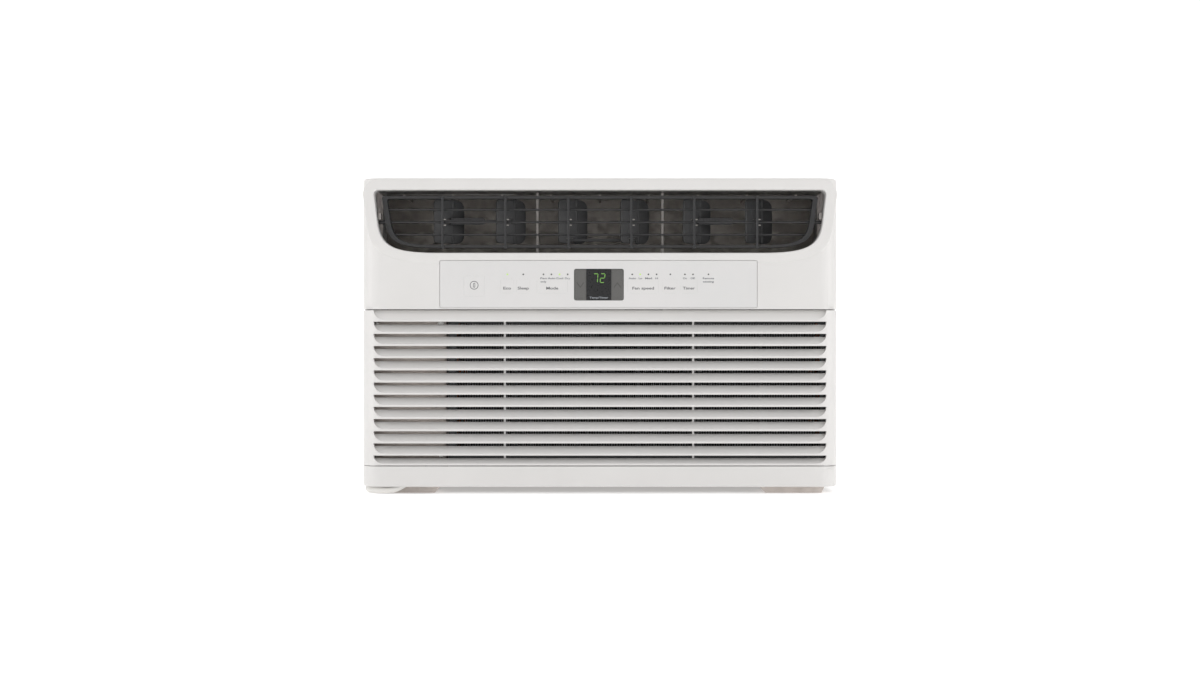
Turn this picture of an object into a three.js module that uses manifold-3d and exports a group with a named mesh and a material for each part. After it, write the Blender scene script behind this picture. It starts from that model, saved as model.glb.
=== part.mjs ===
// Window air conditioner: plastic front with a tilting outlet louver, turning vanes, a control panel
// and an intake grille, on a steel cabinet that holds the cooling circuit, fans and compressor.
// Millimetres, +Z up, the front faces -Y, and the feet stand on z = 0.
import * as THREE from "three";
import { mergeVertices } from "three/addons/utils/BufferGeometryUtils.js";
import Module from "manifold-3d";

const wasm = await Module();
wasm.setup();

// Driving dimensions
const WIDTH = 470;
const DEPTH = 387;
const HEIGHT = 311;
const FOOT_HEIGHT = 7;
const GAP = 0.4;
const WALL = 3;
const CORNER = 20;
const HALF = WIDTH / 2;
const FRONT = -DEPTH / 2;
const BACK = DEPTH / 2;

// Front panel: bottom strip, intake grille and fascia, from the bottom up
const FRAME_BACK = -120;
const STRIP_TOP = 27.2;
const FASCIA_BOTTOM = 181.8;
const GRILLE_BACK = -162;
const GRILLE_BOTTOM = STRIP_TOP + 0.5;
const GRILLE_TOP = FASCIA_BOTTOM - 0.7;
const HINGE = { y: FRONT + WALL / 2, z: GRILLE_BOTTOM + WALL / 2 };
const ROWS = 13;
const ROW_PITCH = 11.98;
const ROW_GAP = 3;
const GRILLE_RIBS = [-94, 92];

// Air outlet, with its tilting louver and its vanes
const OUTLET = { half: 222.6, top: 299.2, bottom: 237.4, radius: 4.5, bend: 268.4 };
const BEZEL = 11;
const COLLAR_BACK = FRONT + 20;
const LOUVER = { front: FRONT + 8.5, back: FRONT + 19.5, y: FRONT + 14, z: 268.2 };
const ROD_SPACING = 12.4;
const VANES = 6;
const VANE_PITCH = 62.2;
const BAR_OFFSET = -7.3;
const VANE = { y: -152, bottom: 248.3, top: 292.1, front: -22.4, back: 13.6, thick: 1.6 };
const VANE_ANGLE = THREE.MathUtils.degToRad(52);
const CRANK = 8;
const LINK_Z = 270.6;
const LOW_LINK_Z = 251.6;
const POST_X = 63;

// Control panel: a membrane over nine keys and a display
const PANEL = { left: -157.5, right: 154.5, bottom: 183.3, top: 229.6 };
const DISPLAY = { left: -25.3, right: 23.1, bottom: 190.7, top: 221.3 };
const LENS = { left: -13.2, right: 10.8 };
const KEY_Z = 204.6;
const KEYS = [
  { name: "key_power", x: -123.8, width: 20, height: 20 },
  { name: "key_eco", x: -91.2, width: 13, height: 14 },
  { name: "key_sleep", x: -75.4, width: 13, height: 14 },
  { name: "key_mode", x: -47, width: 30, height: 14 },
  { name: "key_fan_speed", x: 42.4, width: 30, height: 14 },
  { name: "key_filter", x: 68.7, width: 14, height: 14 },
  { name: "key_timer", x: 87.4, width: 17, height: 14 },
];
const DISPLAY_KEYS = [
  { name: "key_temp_down", x: -18.9, width: 9.2, height: 27 },
  { name: "key_temp_up", x: 16.6, width: 9.2, height: 27 },
];
const KEY_THICK = 0.8;
const PLUNGER_END = FRONT + 5.3;
const SWITCH_TOP = FRONT + 6.2;

// Steel cabinet and base
const SHEET = 1.2;
const SHELL = { half: 233.5, bottom: 9, top: 309.8 };
const PAN = { half: 231.6, front: -164.5, lip: 24 };
const FOOT = { inner: 158, outer: 223, depth: 43, front: -178, back: 130 };

// Air moving parts share one shaft
const SHAFT = { x: 45, z: 128, radius: 4 };
const WHEEL = { radius: 72, front: -100, back: -42 };
const SCROLL = { start: 84, end: 104, wall: 4, front: -110, back: -24, top: 235.6 };
const FAN = { y: 124, hub: 22, radius: 98, ring: 102 };
const BULKHEAD_Y = -20;

// Power cord, coil and plug
const CORD_RADIUS = 3.4;
const COIL = { x: -150, y: 262, inner: 31, outer: 45, height: 21.6 };
const GLAND = { from: [-169, -184.5, 24], to: [-187, -185.8, 13], radius: [5.2, 4.2] };
const PLUG = { x: 60, y: 294.6, z: 15, length: 68, width: 44, height: 30 };

const materials = {
  shell: { color: 0xe9e8e5, roughness: 0.45, metalness: 0 },
  panel: { color: 0xdfdedb, roughness: 0.35, metalness: 0 },
  surround: { color: 0xcfcecb, roughness: 0.35, metalness: 0 },
  lens: { color: 0x262626, roughness: 0.12, metalness: 0 },
  dark: { color: 0x343434, roughness: 0.5, metalness: 0 },
  grey: { color: 0x8d8986, roughness: 0.6, metalness: 0 },
  steel: { color: 0xc9c8c4, roughness: 0.45, metalness: 0.2 },
  zinc: { color: 0x9f9a95, roughness: 0.5, metalness: 0.7 },
  fins: { color: 0xc3c6c8, roughness: 0.4, metalness: 0.8 },
  copper: { color: 0xb6714a, roughness: 0.35, metalness: 0.9 },
  black: { color: 0x1d1d1f, roughness: 0.45, metalness: 0.1 },
  foam: { color: 0xe4e2dc, roughness: 0.9, metalness: 0 },
  board: { color: 0x2f6b45, roughness: 0.5, metalness: 0 },
  cord: { color: 0xd8d7d4, roughness: 0.5, metalness: 0 },
};

// A closed geometry as a manifold-3d solid.
function solid(geometry) {
  const bare = geometry.index ? geometry.toNonIndexed() : geometry.clone();
  bare.deleteAttribute("normal");
  bare.deleteAttribute("uv");
  const merged = mergeVertices(bare, 1e-3);
  const mesh = new wasm.Mesh({
    numProp: 3,
    vertProperties: merged.attributes.position.array,
    triVerts: new Uint32Array(merged.index.array),
  });
  return new wasm.Manifold(mesh);
}

const join = (pieces) => pieces.reduce((all, piece) => all.add(piece));
const cut = (base, tools) => tools.reduce((rest, tool) => rest.subtract(tool), base);

// A solid back as a three.js geometry.
function geometryOf(body) {
  const mesh = body.getMesh();
  const geometry = new THREE.BufferGeometry();
  geometry.setAttribute("position", new THREE.BufferAttribute(mesh.vertProperties, 3));
  geometry.setIndex(new THREE.BufferAttribute(mesh.triVerts, 1));
  const faceted = geometry.toNonIndexed();
  faceted.computeVertexNormals();
  return faceted;
}

const model = new THREE.Group();

function place(name, body, finish, position = [0, 0, 0]) {
  const mesh = new THREE.Mesh(geometryOf(body), new THREE.MeshStandardMaterial(materials[finish]));
  mesh.name = name;
  mesh.position.set(...position);
  model.add(mesh);
  return mesh;
}

// A box from its six faces.
function box(x0, x1, y0, y1, z0, z1) {
  const geometry = new THREE.BoxGeometry(x1 - x0, y1 - y0, z1 - z0);
  geometry.translate((x0 + x1) / 2, (y0 + y1) / 2, (z0 + z1) / 2);
  return solid(geometry);
}

const extruded = (shape, depth, curveSegments = 4) =>
  new THREE.ExtrudeGeometry(shape, { depth, bevelEnabled: false, curveSegments });

// Prisms of an outline: in XY along Z, in XZ along Y, and in YZ along X.
function prismZ(shape, z0, z1, curveSegments) {
  return solid(extruded(shape, z1 - z0, curveSegments).translate(0, 0, z0));
}

function prismY(shape, y0, y1, curveSegments) {
  return solid(
    extruded(shape, y1 - y0, curveSegments)
      .rotateX(Math.PI / 2)
      .translate(0, y1, 0),
  );
}

function prismX(shape, x0, x1, curveSegments) {
  const turn = new THREE.Matrix4().makeBasis(
    new THREE.Vector3(0, 1, 0),
    new THREE.Vector3(0, 0, 1),
    new THREE.Vector3(1, 0, 0),
  );
  return solid(
    extruded(shape, x1 - x0, curveSegments)
      .applyMatrix4(turn)
      .translate(x0, 0, 0),
  );
}

const polygon = (points) => new THREE.Shape(points.map(([a, b]) => new THREE.Vector2(a, b)));

// A rectangle with round corners.
function rounded(x0, x1, y0, y1, r) {
  const shape = new THREE.Shape();
  shape.moveTo(x0 + r, y0);
  shape.lineTo(x1 - r, y0);
  shape.absarc(x1 - r, y0 + r, r, -Math.PI / 2, 0, false);
  shape.lineTo(x1, y1 - r);
  shape.absarc(x1 - r, y1 - r, r, 0, Math.PI / 2, false);
  shape.lineTo(x0 + r, y1);
  shape.absarc(x0 + r, y1 - r, r, Math.PI / 2, Math.PI, false);
  shape.lineTo(x0, y0 + r);
  shape.absarc(x0 + r, y0 + r, r, Math.PI, 1.5 * Math.PI, false);
  return shape;
}

// A round bar or cone between two points.
function rod(from, to, radius, sides = 12, radiusTo = radius) {
  const a = new THREE.Vector3(...from);
  const b = new THREE.Vector3(...to);
  const along = b.clone().sub(a);
  const geometry = new THREE.CylinderGeometry(radiusTo, radius, along.length(), sides);
  const turn = new THREE.Quaternion();
  turn.setFromUnitVectors(new THREE.Vector3(0, 1, 0), along.clone().normalize());
  geometry.applyQuaternion(turn);
  geometry.translate(...a.add(b).multiplyScalar(0.5).toArray());
  return solid(geometry);
}

// A round bar along Y through the fan shaft's axis.
const onShaft = (radius, y0, y1, sides = 24) =>
  rod([SHAFT.x, y0, SHAFT.z], [SHAFT.x, y1, SHAFT.z], radius, sides);

// A round tube along a smooth curve through points.
function tube(points, radius, sides, steps) {
  const path = new THREE.CatmullRomCurve3(points.map((p) => new THREE.Vector3(...p)), false, "centripetal");
  const section = new THREE.Shape();
  for (let i = 0; i < sides; i += 1) {
    const angle = (2 * Math.PI * i) / sides;
    const move = i === 0 ? "moveTo" : "lineTo";
    section[move](radius * Math.cos(angle), radius * Math.sin(angle));
  }
  const settings = { steps, bevelEnabled: false, extrudePath: path };
  return solid(new THREE.ExtrudeGeometry(section, settings));
}

// The front's outline from above, with both front corners round, set in by a wall.
function planOutline(inset, yBack) {
  const x = HALF - inset;
  const y = FRONT + inset;
  const r = CORNER - inset;
  const shape = new THREE.Shape();
  shape.moveTo(-x, yBack);
  shape.lineTo(-x, y + r);
  shape.absarc(-x + r, y + r, r, Math.PI, 1.5 * Math.PI, false);
  shape.lineTo(x - r, y);
  shape.absarc(x - r, y + r, r, 1.5 * Math.PI, 2 * Math.PI, false);
  shape.lineTo(x, yBack);
  return shape;
}

// The outlet's outline: small round corners above, and long sweeping ones below.
function outletOutline(dx, dz) {
  const top = OUTLET.top + dz;
  const bottom = OUTLET.bottom - dz;
  const r = OUTLET.radius + Math.max(dx, -2);
  const half = OUTLET.half + dx;
  const shape = new THREE.Shape();
  shape.moveTo(-half + 3.1, OUTLET.bend);
  shape.bezierCurveTo(-half + 6.1, 244 - dz / 2, -half + 17.6, bottom, -OUTLET.half + 63.6, bottom);
  shape.lineTo(OUTLET.half - 63.6, bottom);
  shape.bezierCurveTo(half - 17.6, bottom, half - 6.1, 244 - dz / 2, half - 3.1, OUTLET.bend);
  shape.lineTo(half, top - r);
  shape.absarc(half - r, top - r, r, 0, Math.PI / 2, false);
  shape.lineTo(-half + r, top);
  shape.absarc(-half + r, top - r, r, Math.PI / 2, Math.PI, false);
  return shape;
}

const outletPrism = (dx, dz, y0, y1) => prismY(outletOutline(dx, dz), y0, y1, 6);

// Front frame: a moulded shell with the fascia above, the strip below, and side walls behind the grille.
function frontFrame() {
  const outline = prismZ(planOutline(0, FRAME_BACK), FOOT_HEIGHT, HEIGHT);
  const face = prismY(rounded(-HALF, HALF, FOOT_HEIGHT, HEIGHT, 4), FRONT - 1, FRAME_BACK + 1);
  const outer = outline.intersect(face);
  const hollow = prismZ(planOutline(WALL, FRAME_BACK + 1), FOOT_HEIGHT + 2.5, HEIGHT - 2.5);
  const shell = cut(outer, [
    hollow,
    box(-HALF - 1, HALF + 1, FRONT - 1, GRILLE_BACK, STRIP_TOP, FASCIA_BOTTOM),
    box(-HALF + WALL, HALF - WALL, PAN.front - 0.5, FRAME_BACK + 1, 0, FOOT_HEIGHT + 3),
  ]);
  const returns = join([
    box(-231, 231, FRONT + 2, FRONT + 22, FASCIA_BOTTOM, FASCIA_BOTTOM + 1.1),
    box(-150, 231, FRONT + 2, FRONT + 10, STRIP_TOP - 2.5, STRIP_TOP),
  ]).intersect(outer);
  const bezel = outletPrism(BEZEL, BEZEL, FRONT, FRONT + 14);
  const pocket = outletPrism(BEZEL - 2.5, BEZEL - 2.5, FRONT + WALL, FRONT + 14.1);
  const collar = outletPrism(2.5, 2.5, FRONT, COLLAR_BACK);
  const panelShape = rounded(PANEL.left - GAP, PANEL.right + GAP, PANEL.bottom - GAP, PANEL.top + GAP, 2);
  const { left, right, bottom, top } = DISPLAY;
  const holes = [
    outletPrism(0, 0, FRONT - 1, COLLAR_BACK + 1),
    prismY(panelShape, FRONT - 1, FRONT + 1.3),
    box(left - GAP, right + GAP, FRONT, FRONT + 8, bottom - GAP, top + GAP),
    rod([-HALF - 1, LOUVER.y, LOUVER.z], [HALF + 1, LOUVER.y, LOUVER.z], 2.3, 10).intersect(
      box(-226, 226, FRONT, 0, 200, HEIGHT),
    ),
    box(-214, -170, FRONT + WALL + 0.2, FRONT + 12.5, FOOT_HEIGHT - 1, FOOT_HEIGHT + 4),
  ];
  KEYS.forEach(({ x, width, height }) => {
    const w = width / 2 + GAP;
    const h = height / 2 + GAP;
    holes.push(box(x - w, x + w, FRONT, FRONT + 5, KEY_Z - h, KEY_Z + h));
  });
  const body = shell.add(returns).add(bezel).subtract(pocket).add(collar);
  place("front_frame", cut(body, holes), "shell");
}

// Intake grille: a plate that wraps both corners, with a row of sloping slats and two ribs behind.
function intakeGrille() {
  const reach = GRILLE_TOP - HINGE.z;
  const side = new THREE.Shape();
  side.moveTo(FRONT, HINGE.z);
  side.absarc(HINGE.y, HINGE.z, WALL / 2, Math.PI, 1.5 * Math.PI, false);
  side.lineTo(GRILLE_BACK - GAP, GRILLE_BOTTOM);
  const rear = GRILLE_BACK - GAP - HINGE.y;
  const swing = Math.hypot(reach, WALL / 2);
  side.lineTo(GRILLE_BACK - GAP, HINGE.z + Math.sqrt(swing ** 2 - rear ** 2));
  side.lineTo(HINGE.y + rear / 2, HINGE.z + Math.sqrt(swing ** 2 - (rear / 2) ** 2));
  side.lineTo(FRONT, GRILLE_TOP);
  const wrap = prismZ(planOutline(0, GRILLE_BACK), 20, 200).subtract(
    prismZ(planOutline(WALL, GRILLE_BACK + 1), 19, 201),
  );
  const plate = wrap.intersect(prismX(side, -HALF, HALF));
  const window = box(-222.5, 222.5, FRONT - 1, FRONT + WALL + 2, GRILLE_BOTTOM + 2.4, GRILLE_TOP - 2);
  const pieces = [plate.subtract(window)];
  for (let row = 0; row < ROWS; row += 1) {
    const top = FASCIA_BOTTOM - 0.2 - row * ROW_PITCH;
    const low = Math.max(top - ROW_PITCH, GRILLE_BOTTOM + 0.6);
    const rim = row === 0 ? GRILLE_TOP - 1.5 : top - ROW_GAP;
    const slat = polygon([
      [FRONT, low],
      [FRONT + 1.8, low],
      [FRONT + 7.6, rim - 1.9],
      [FRONT + 7.6, rim],
      [FRONT + 6.4, rim],
      [FRONT, low + 2],
    ]);
    pieces.push(prismX(slat, -223.5, 223.5));
  }
  GRILLE_RIBS.forEach((x) => {
    pieces.push(box(x - 0.8, x + 0.8, FRONT + 1.5, FRONT + 9, GRILLE_BOTTOM + 1, GRILLE_TOP - 1));
  });
  const ends = [-1, 1].map((s) => {
    const x = s * 222.75;
    return box(x - 0.75, x + 0.75, FRONT + 1.2, FRONT + 9, GRILLE_BOTTOM + 1, GRILLE_TOP - 1);
  });
  const within = prismZ(planOutline(0, GRILLE_BACK), 20, 200);
  place("intake_grille", join([...pieces, ...ends]).intersect(within), "shell");
}

// Filter: a framed screen that slides up in the guide behind the grille.
function airFilter() {
  const [y0, y1] = [FRONT + 13, FRONT + 16];
  const frame = box(-146, 222, y0, y1, 33, 172);
  const cells = [];
  for (let column = 0; column < 6; column += 1) {
    for (let row = 0; row < 2; row += 1) {
      const x = -142 + column * 60.5;
      const z = 37 + row * 67;
      cells.push(box(x, x + 57.5, y0 - 1, y0 + 1, z, z + 64));
    }
  }
  place("air_filter", cut(frame, cells), "dark");
  const [g0, g1] = [y0 - 2, y1 + 2];
  const guide = box(-150, 226, g0, g1, 29, 180);
  const channel = box(-146 - GAP, 222 + GAP, y0 - GAP, y1 + GAP, 33 - GAP, 178.5);
  const opening = box(-142, 218, g0 - 1, g1 + 1, 37, 168);
  place("filter_guide", cut(guide, [channel, opening]), "grey");
}

// Control panel: membrane, display and keys, in front of the control board.
function controlPanel() {
  const [y0, y1] = [FRONT + 0.1, FRONT + 0.1 + KEY_THICK];
  const sheet = prismY(rounded(PANEL.left, PANEL.right, PANEL.bottom, PANEL.top, 1.6), y0, y1);
  const { left, right, bottom, top } = DISPLAY;
  const holes = KEYS.map(({ x, width, height }) => {
    const w = width / 2 + 0.3;
    const h = height / 2 + 0.3;
    return box(x - w, x + w, y0 - 1, y1 + 1, KEY_Z - h, KEY_Z + h);
  });
  holes.push(box(left - 0.3, right + 0.3, y0 - 1, y1 + 1, bottom - 0.3, top + 0.3));
  place("control_overlay", cut(sheet, holes), "panel");

  const middle = (bottom + top) / 2;
  const surround = prismY(rounded(left, right, bottom, top, 2), y0, FRONT + 4);
  const openings = DISPLAY_KEYS.map(({ x, width, height }) => {
    const w = width / 2 + 0.3;
    const h = height / 2 + 0.3;
    return box(x - w, x + w, y0 - 1, FRONT + 5, middle - h, middle + h);
  });
  openings.push(box(LENS.left - 0.3, LENS.right + 0.3, y0 - 1, FRONT + 5, bottom + 1.4, top - 1.4));
  place("display_surround", cut(surround, openings), "surround");
  const lens = box(LENS.left, LENS.right, y0, FRONT + 6, bottom + 1.7, top - 1.7);
  place("display_window", lens, "lens");

  const addKey = ({ name, x, width, height }, z, finish) => {
    const pad = prismY(rounded(-width / 2, width / 2, -height / 2, height / 2, 1.2), y0, y1, 2);
    const plunger = box(-2.2, 2.2, y0 + 0.2, PLUNGER_END, -2.2, 2.2);
    place(name, pad.add(plunger), finish, [x, 0, z]);
  };
  KEYS.forEach((key) => addKey(key, KEY_Z, "panel"));
  DISPLAY_KEYS.forEach((key) => addKey(key, middle, "grey"));

  const switches = [...KEYS, ...DISPLAY_KEYS].map(({ x }, i) => {
    const z = i < KEYS.length ? KEY_Z : middle;
    return box(x - 3, x + 3, SWITCH_TOP, FRONT + 8, z - 3, z + 3);
  });
  const board = box(-150, 120, FRONT + 7.8, FRONT + 9.4, 187, 223);
  place("control_board", join([board, ...switches]), "board");
}

// Outlet duct: a tunnel from the scroll's top to the outlet, with posts and vane bearing rails.
function outletDuct() {
  const y0 = COLLAR_BACK + 0.5;
  const tunnel = box(-225, 225, y0, -36, 236.2, 301.4).subtract(box(-223, 223, y0 - 1, -38, 238.2, 299.4));
  const inlet = box(-38, 148, -108, -40, 230, 240);
  const rails = [
    [293.4, 296.2],
    [243.8, 246.8],
  ].map(([z0, z1]) => box(-224, 224, VANE.y - 3, VANE.y + 3, z0, z1));
  const posts = [-POST_X, POST_X].map((x) => box(x - 1.1, x + 1.1, -149.5, -131, 237, 300));
  const holes = vanePivots().map((x) => rod([x, VANE.y, 240], [x, VANE.y, 298], 1.7, 8));
  const body = cut(join([tunnel.subtract(inlet), ...rails, ...posts]), holes);
  place("outlet_duct", body, "grey");
}

function vanePivots() {
  return Array.from({ length: VANES }, (_, i) => (i - (VANES - 1) / 2) * VANE_PITCH - BAR_OFFSET);
}

// Louver frame: a tilting ring with three long rods and six short bars across the front.
function louverFrame() {
  const { front, back, y, z } = LOUVER;
  const ring = outletPrism(-7, -5.2, front, back).subtract(outletPrism(-12.4, -8, front - 1, back + 1));
  const rods = join([-1, 0, 1].map((i) => {
    const level = z + i * ROD_SPACING;
    return box(-220, 220, y - 1.2, y + 1.2, level - 0.9, level + 0.9);
  })).intersect(outletPrism(-9, -6, front, back));
  const bars = vanePivots().map((pivot) => {
    const x = pivot + BAR_OFFSET;
    const bar = box(x - 0.6, x + 0.6, front - 1.6, front + 1, 243.6, 293.6);
    return bar.add(box(x - 1.6, x + 1.6, front - 1.6, front + 1, 241.4, 244.4));
  });
  const pins = [-1, 1].map((s) => rod([s * 210, y, z], [s * 222.4, y, z], 1.8, 10));
  place("louver_frame", join([ring, rods, ...bars, ...pins]), "dark");
}

// A vane in its own axes: u along the blade from front to back, z up, pivot at the origin.
function vaneSolid(linkZ) {
  const { bottom, top, front, back, thick } = VANE;
  const blade = new THREE.Shape();
  blade.moveTo(front + 3.5, bottom);
  blade.lineTo(back - 9, bottom);
  blade.absarc(back - 9, bottom + 9, 9, -Math.PI / 2, 0, false);
  blade.lineTo(back, top - 9);
  blade.absarc(back - 9, top - 9, 9, 0, Math.PI / 2, false);
  blade.lineTo(front + 3.5, top);
  blade.absarc(front + 3.5, top - 3.5, 3.5, Math.PI / 2, Math.PI, false);
  blade.lineTo(front, bottom + 3.5);
  blade.absarc(front + 3.5, bottom + 3.5, 3.5, Math.PI, 1.5 * Math.PI, false);
  const plate = prismY(blade, -thick / 2, thick / 2, 3);
  const pin = rod([0, 0, bottom - 4], [0, 0, top + 3.6], 1.2, 8);
  const slot = box(-CRANK - 4.5, -CRANK + 4.5, -3, 3, linkZ - 2.2, linkZ + 2.2);
  return plate.add(pin).subtract(slot);
}

// Vanes in three pairs, each pair joined by a link bar. The outer link bars carry a thumb lever.
function vanes() {
  const pivots = vanePivots();
  const reach = [CRANK * Math.sin(VANE_ANGLE), CRANK * Math.cos(VANE_ANGLE)];
  pivots.forEach((x, i) => {
    const linkZ = i === 2 || i === 3 ? LOW_LINK_Z : LINK_Z;
    const vane = place(`vane_${i + 1}`, vaneSolid(linkZ), "dark", [x, VANE.y, 0]);
    vane.rotation.z = Math.PI / 2 - VANE_ANGLE;
  });
  ["left", "center", "right"].forEach((side, pair) => {
    const thumb = side !== "center";
    const z = thumb ? LINK_Z : LOW_LINK_Z;
    const bar = box(-3.4, VANE_PITCH + 3.4, -1.3, 1.3, z - 1.5, z + 1.5);
    const lever = box(5, 38.6, -2.6, 1.3, z - 3.5, z + 3.5);
    const position = [pivots[2 * pair] - reach[0], VANE.y - reach[1], 0];
    place(`link_bar_${side}`, thumb ? bar.add(lever) : bar, thumb ? "grey" : "dark", position);
  });
}

// Cabinet: a steel wrap with vent slots, the base pan and four feet.
function cabinet() {
  const { half, bottom, top } = SHELL;
  const y0 = FRAME_BACK + GAP;
  const wrap = box(-half, half, y0, BACK, bottom, top).subtract(
    box(-half + SHEET, half - SHEET, y0 - 1, BACK + 1, bottom - 1, top - SHEET),
  );
  const vents = [];
  for (let row = 0; row < 7; row += 1) {
    [10, 95].forEach((y) => {
      const z = 110 + row * 24;
      vents.push(box(-half - 1, -half + 2, y, y + 70, z, z + 6));
      vents.push(box(half - 2, half + 1, y, y + 70, z, z + 6));
    });
  }
  for (let row = 0; row < 4; row += 1) {
    [-190, 20].forEach((x) => {
      const y = 60 + row * 24;
      vents.push(box(x, x + 170, y, y + 6, top - 2, top + 1));
    });
  }
  place("cabinet_shell", cut(wrap, vents), "steel");

  const lipTop = FOOT_HEIGHT + PAN.lip;
  const panHalf = PAN.half - SHEET;
  const panBack = BACK - GAP;
  const floor = FOOT_HEIGHT + SHEET;
  const pan = box(-PAN.half, PAN.half, PAN.front, panBack, FOOT_HEIGHT, lipTop).subtract(
    box(-panHalf, panHalf, PAN.front + SHEET, panBack - SHEET, floor, lipTop + 1),
  );
  place("base_pan", pan, "zinc");

  const length = FOOT.outer - FOOT.inner;
  const profile = polygon([
    [0, FOOT_HEIGHT - 0.3],
    [6, 0],
    [length - 3, 0],
    [length, FOOT_HEIGHT - 0.3],
  ]);
  ["front", "rear"].forEach((end) => {
    ["left", "right"].forEach((side) => {
      const foot = prismY(profile, 0, FOOT.depth);
      const y = end === "front" ? FOOT.front : FOOT.back;
      const mirrored = side === "left" ? foot.mirror([1, 0, 0]) : foot;
      const x = side === "left" ? -FOOT.inner : FOOT.inner;
      place(`foot_${end}_${side}`, mirrored, "zinc", [x, y, 0]);
    });
  });
}

// A finned coil: a fin block with end plates and a row of return bends at each end.
function finCoil(x0, x1, y0, y1, z0, z1, bends) {
  const middle = (y0 + y1) / 2;
  const pieces = [
    box(x0 + 9, x1 - 9, y0 + 1, y1 - 1, z0 + 1, z1 - 1),
    box(x0 + 8, x0 + 9.5, y0, y1, z0, z1),
    box(x1 - 9.5, x1 - 8, y0, y1, z0, z1),
  ];
  const pitch = (z1 - z0) / bends;
  for (let i = 0; i < bends; i += 1) {
    const z = z0 + (i + 0.5) * pitch;
    [x0, x1 - 8.5].forEach((x) => {
      pieces.push(box(x, x + 8.5, middle - 3.5, middle + 3.5, z - pitch * 0.35, z + pitch * 0.35));
    });
  }
  return join(pieces);
}

// Cooling circuit: two coils, a compressor and three lines.
function coolingCircuit() {
  place("evaporator_coil", finCoil(-148, 224, -150, -124, 12, 178, 5), "fins");
  place("condenser_coil", finCoil(-228, 228, 160, 183, 10, 300, 7), "fins");

  const profile = [
    [0, 14],
    [46, 14],
    [58, 26],
    [58, 168],
    [50, 188],
    [30, 197],
    [0, 200],
  ].map(([r, z]) => new THREE.Vector2(r, z));
  const can = solid(new THREE.LatheGeometry(profile, 20).rotateX(Math.PI / 2));
  const plate = prismZ(rounded(-62, 62, -52, 52, 14), 10, 14.5, 3);
  place("compressor", can.add(plate), "black", [-160, 72, 0]);

  const suction = [
    [-140, -123.4, 158],
    [-141, -108, 160],
    [-160, -88, 180],
    [-186, -60, 212],
    [-190, -20, 222],
    [-188, 30, 226],
    [-170, 66, 222],
    [-160, 72, 202.5],
  ];
  place("suction_line", tube(suction, 4.5, 8, 22), "copper");
  const discharge = [
    [-130, 72, 199.5],
    [-130, 74, 232],
    [-140, 84, 262],
    [-176, 110, 276],
    [-200, 138, 282],
    [-204, 159.4, 282],
  ];
  place("discharge_line", tube(discharge, 3.2, 8, 16), "copper");
  const liquid = [
    [-214, 159.4, 26],
    [-216, 140, 26],
    [-222, 100, 27],
    [-222, 20, 27],
    [-210, -20, 27],
    [-196, -70, 30],
    [-160, -96, 38],
    [-141, -108, 42],
    [-140, -123.4, 42],
  ];
  place("liquid_line", tube(liquid, 2.4, 8, 24), "copper");
}

// Air path: scroll, bulkhead and fan shroud, all fixed.
function airPath() {
  const { start, end, wall, front, back, top } = SCROLL;
  const spiral = (grow) => {
    const points = [[SHAFT.x - start - grow, top]];
    for (let i = 0; i <= 10; i += 1) {
      const radius = start + grow + ((end - start) * i) / 10;
      const angle = Math.PI * (1 + i / 10);
      points.push([SHAFT.x + radius * Math.cos(angle), SHAFT.z + radius * Math.sin(angle)]);
    }
    points.push([SHAFT.x + end + grow, top]);
    return points;
  };
  const housing = prismY(polygon(spiral(wall)), front, back);
  const inside = spiral(0);
  inside[0][1] = top + 1;
  inside[inside.length - 1][1] = top + 1;
  const room = prismY(polygon(inside), front + 3, back - 3);
  const mouth = onShaft(58, front - 1, front + 4);
  const bore = onShaft(12, back - 4, back + 1, 12);
  place("blower_scroll", cut(housing, [room, mouth, bore]), "foam");

  const sheet = box(-230, 230, BULKHEAD_Y, BULKHEAD_Y + SHEET, FOOT_HEIGHT + 1.8, 308);
  const openings = [
    onShaft(12, BULKHEAD_Y - 1, BULKHEAD_Y + 3, 12),
    box(-205, -175, BULKHEAD_Y - 1, BULKHEAD_Y + 3, 206, 240),
    box(-220, -200, BULKHEAD_Y - 1, BULKHEAD_Y + 3, 18, 36),
  ];
  place("bulkhead", cut(sheet, openings), "steel");

  const shroudPlate = box(-96, 230, FAN.y + 6, FAN.y + 8, FOOT_HEIGHT + 1.8, 300);
  const collar = onShaft(FAN.ring + 8, FAN.y - 10, FAN.y + 8);
  const orifice = onShaft(FAN.ring + 5.5, FAN.y - 11, FAN.y + 9);
  place("fan_shroud", shroudPlate.add(collar).subtract(orifice), "black");
}

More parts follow.
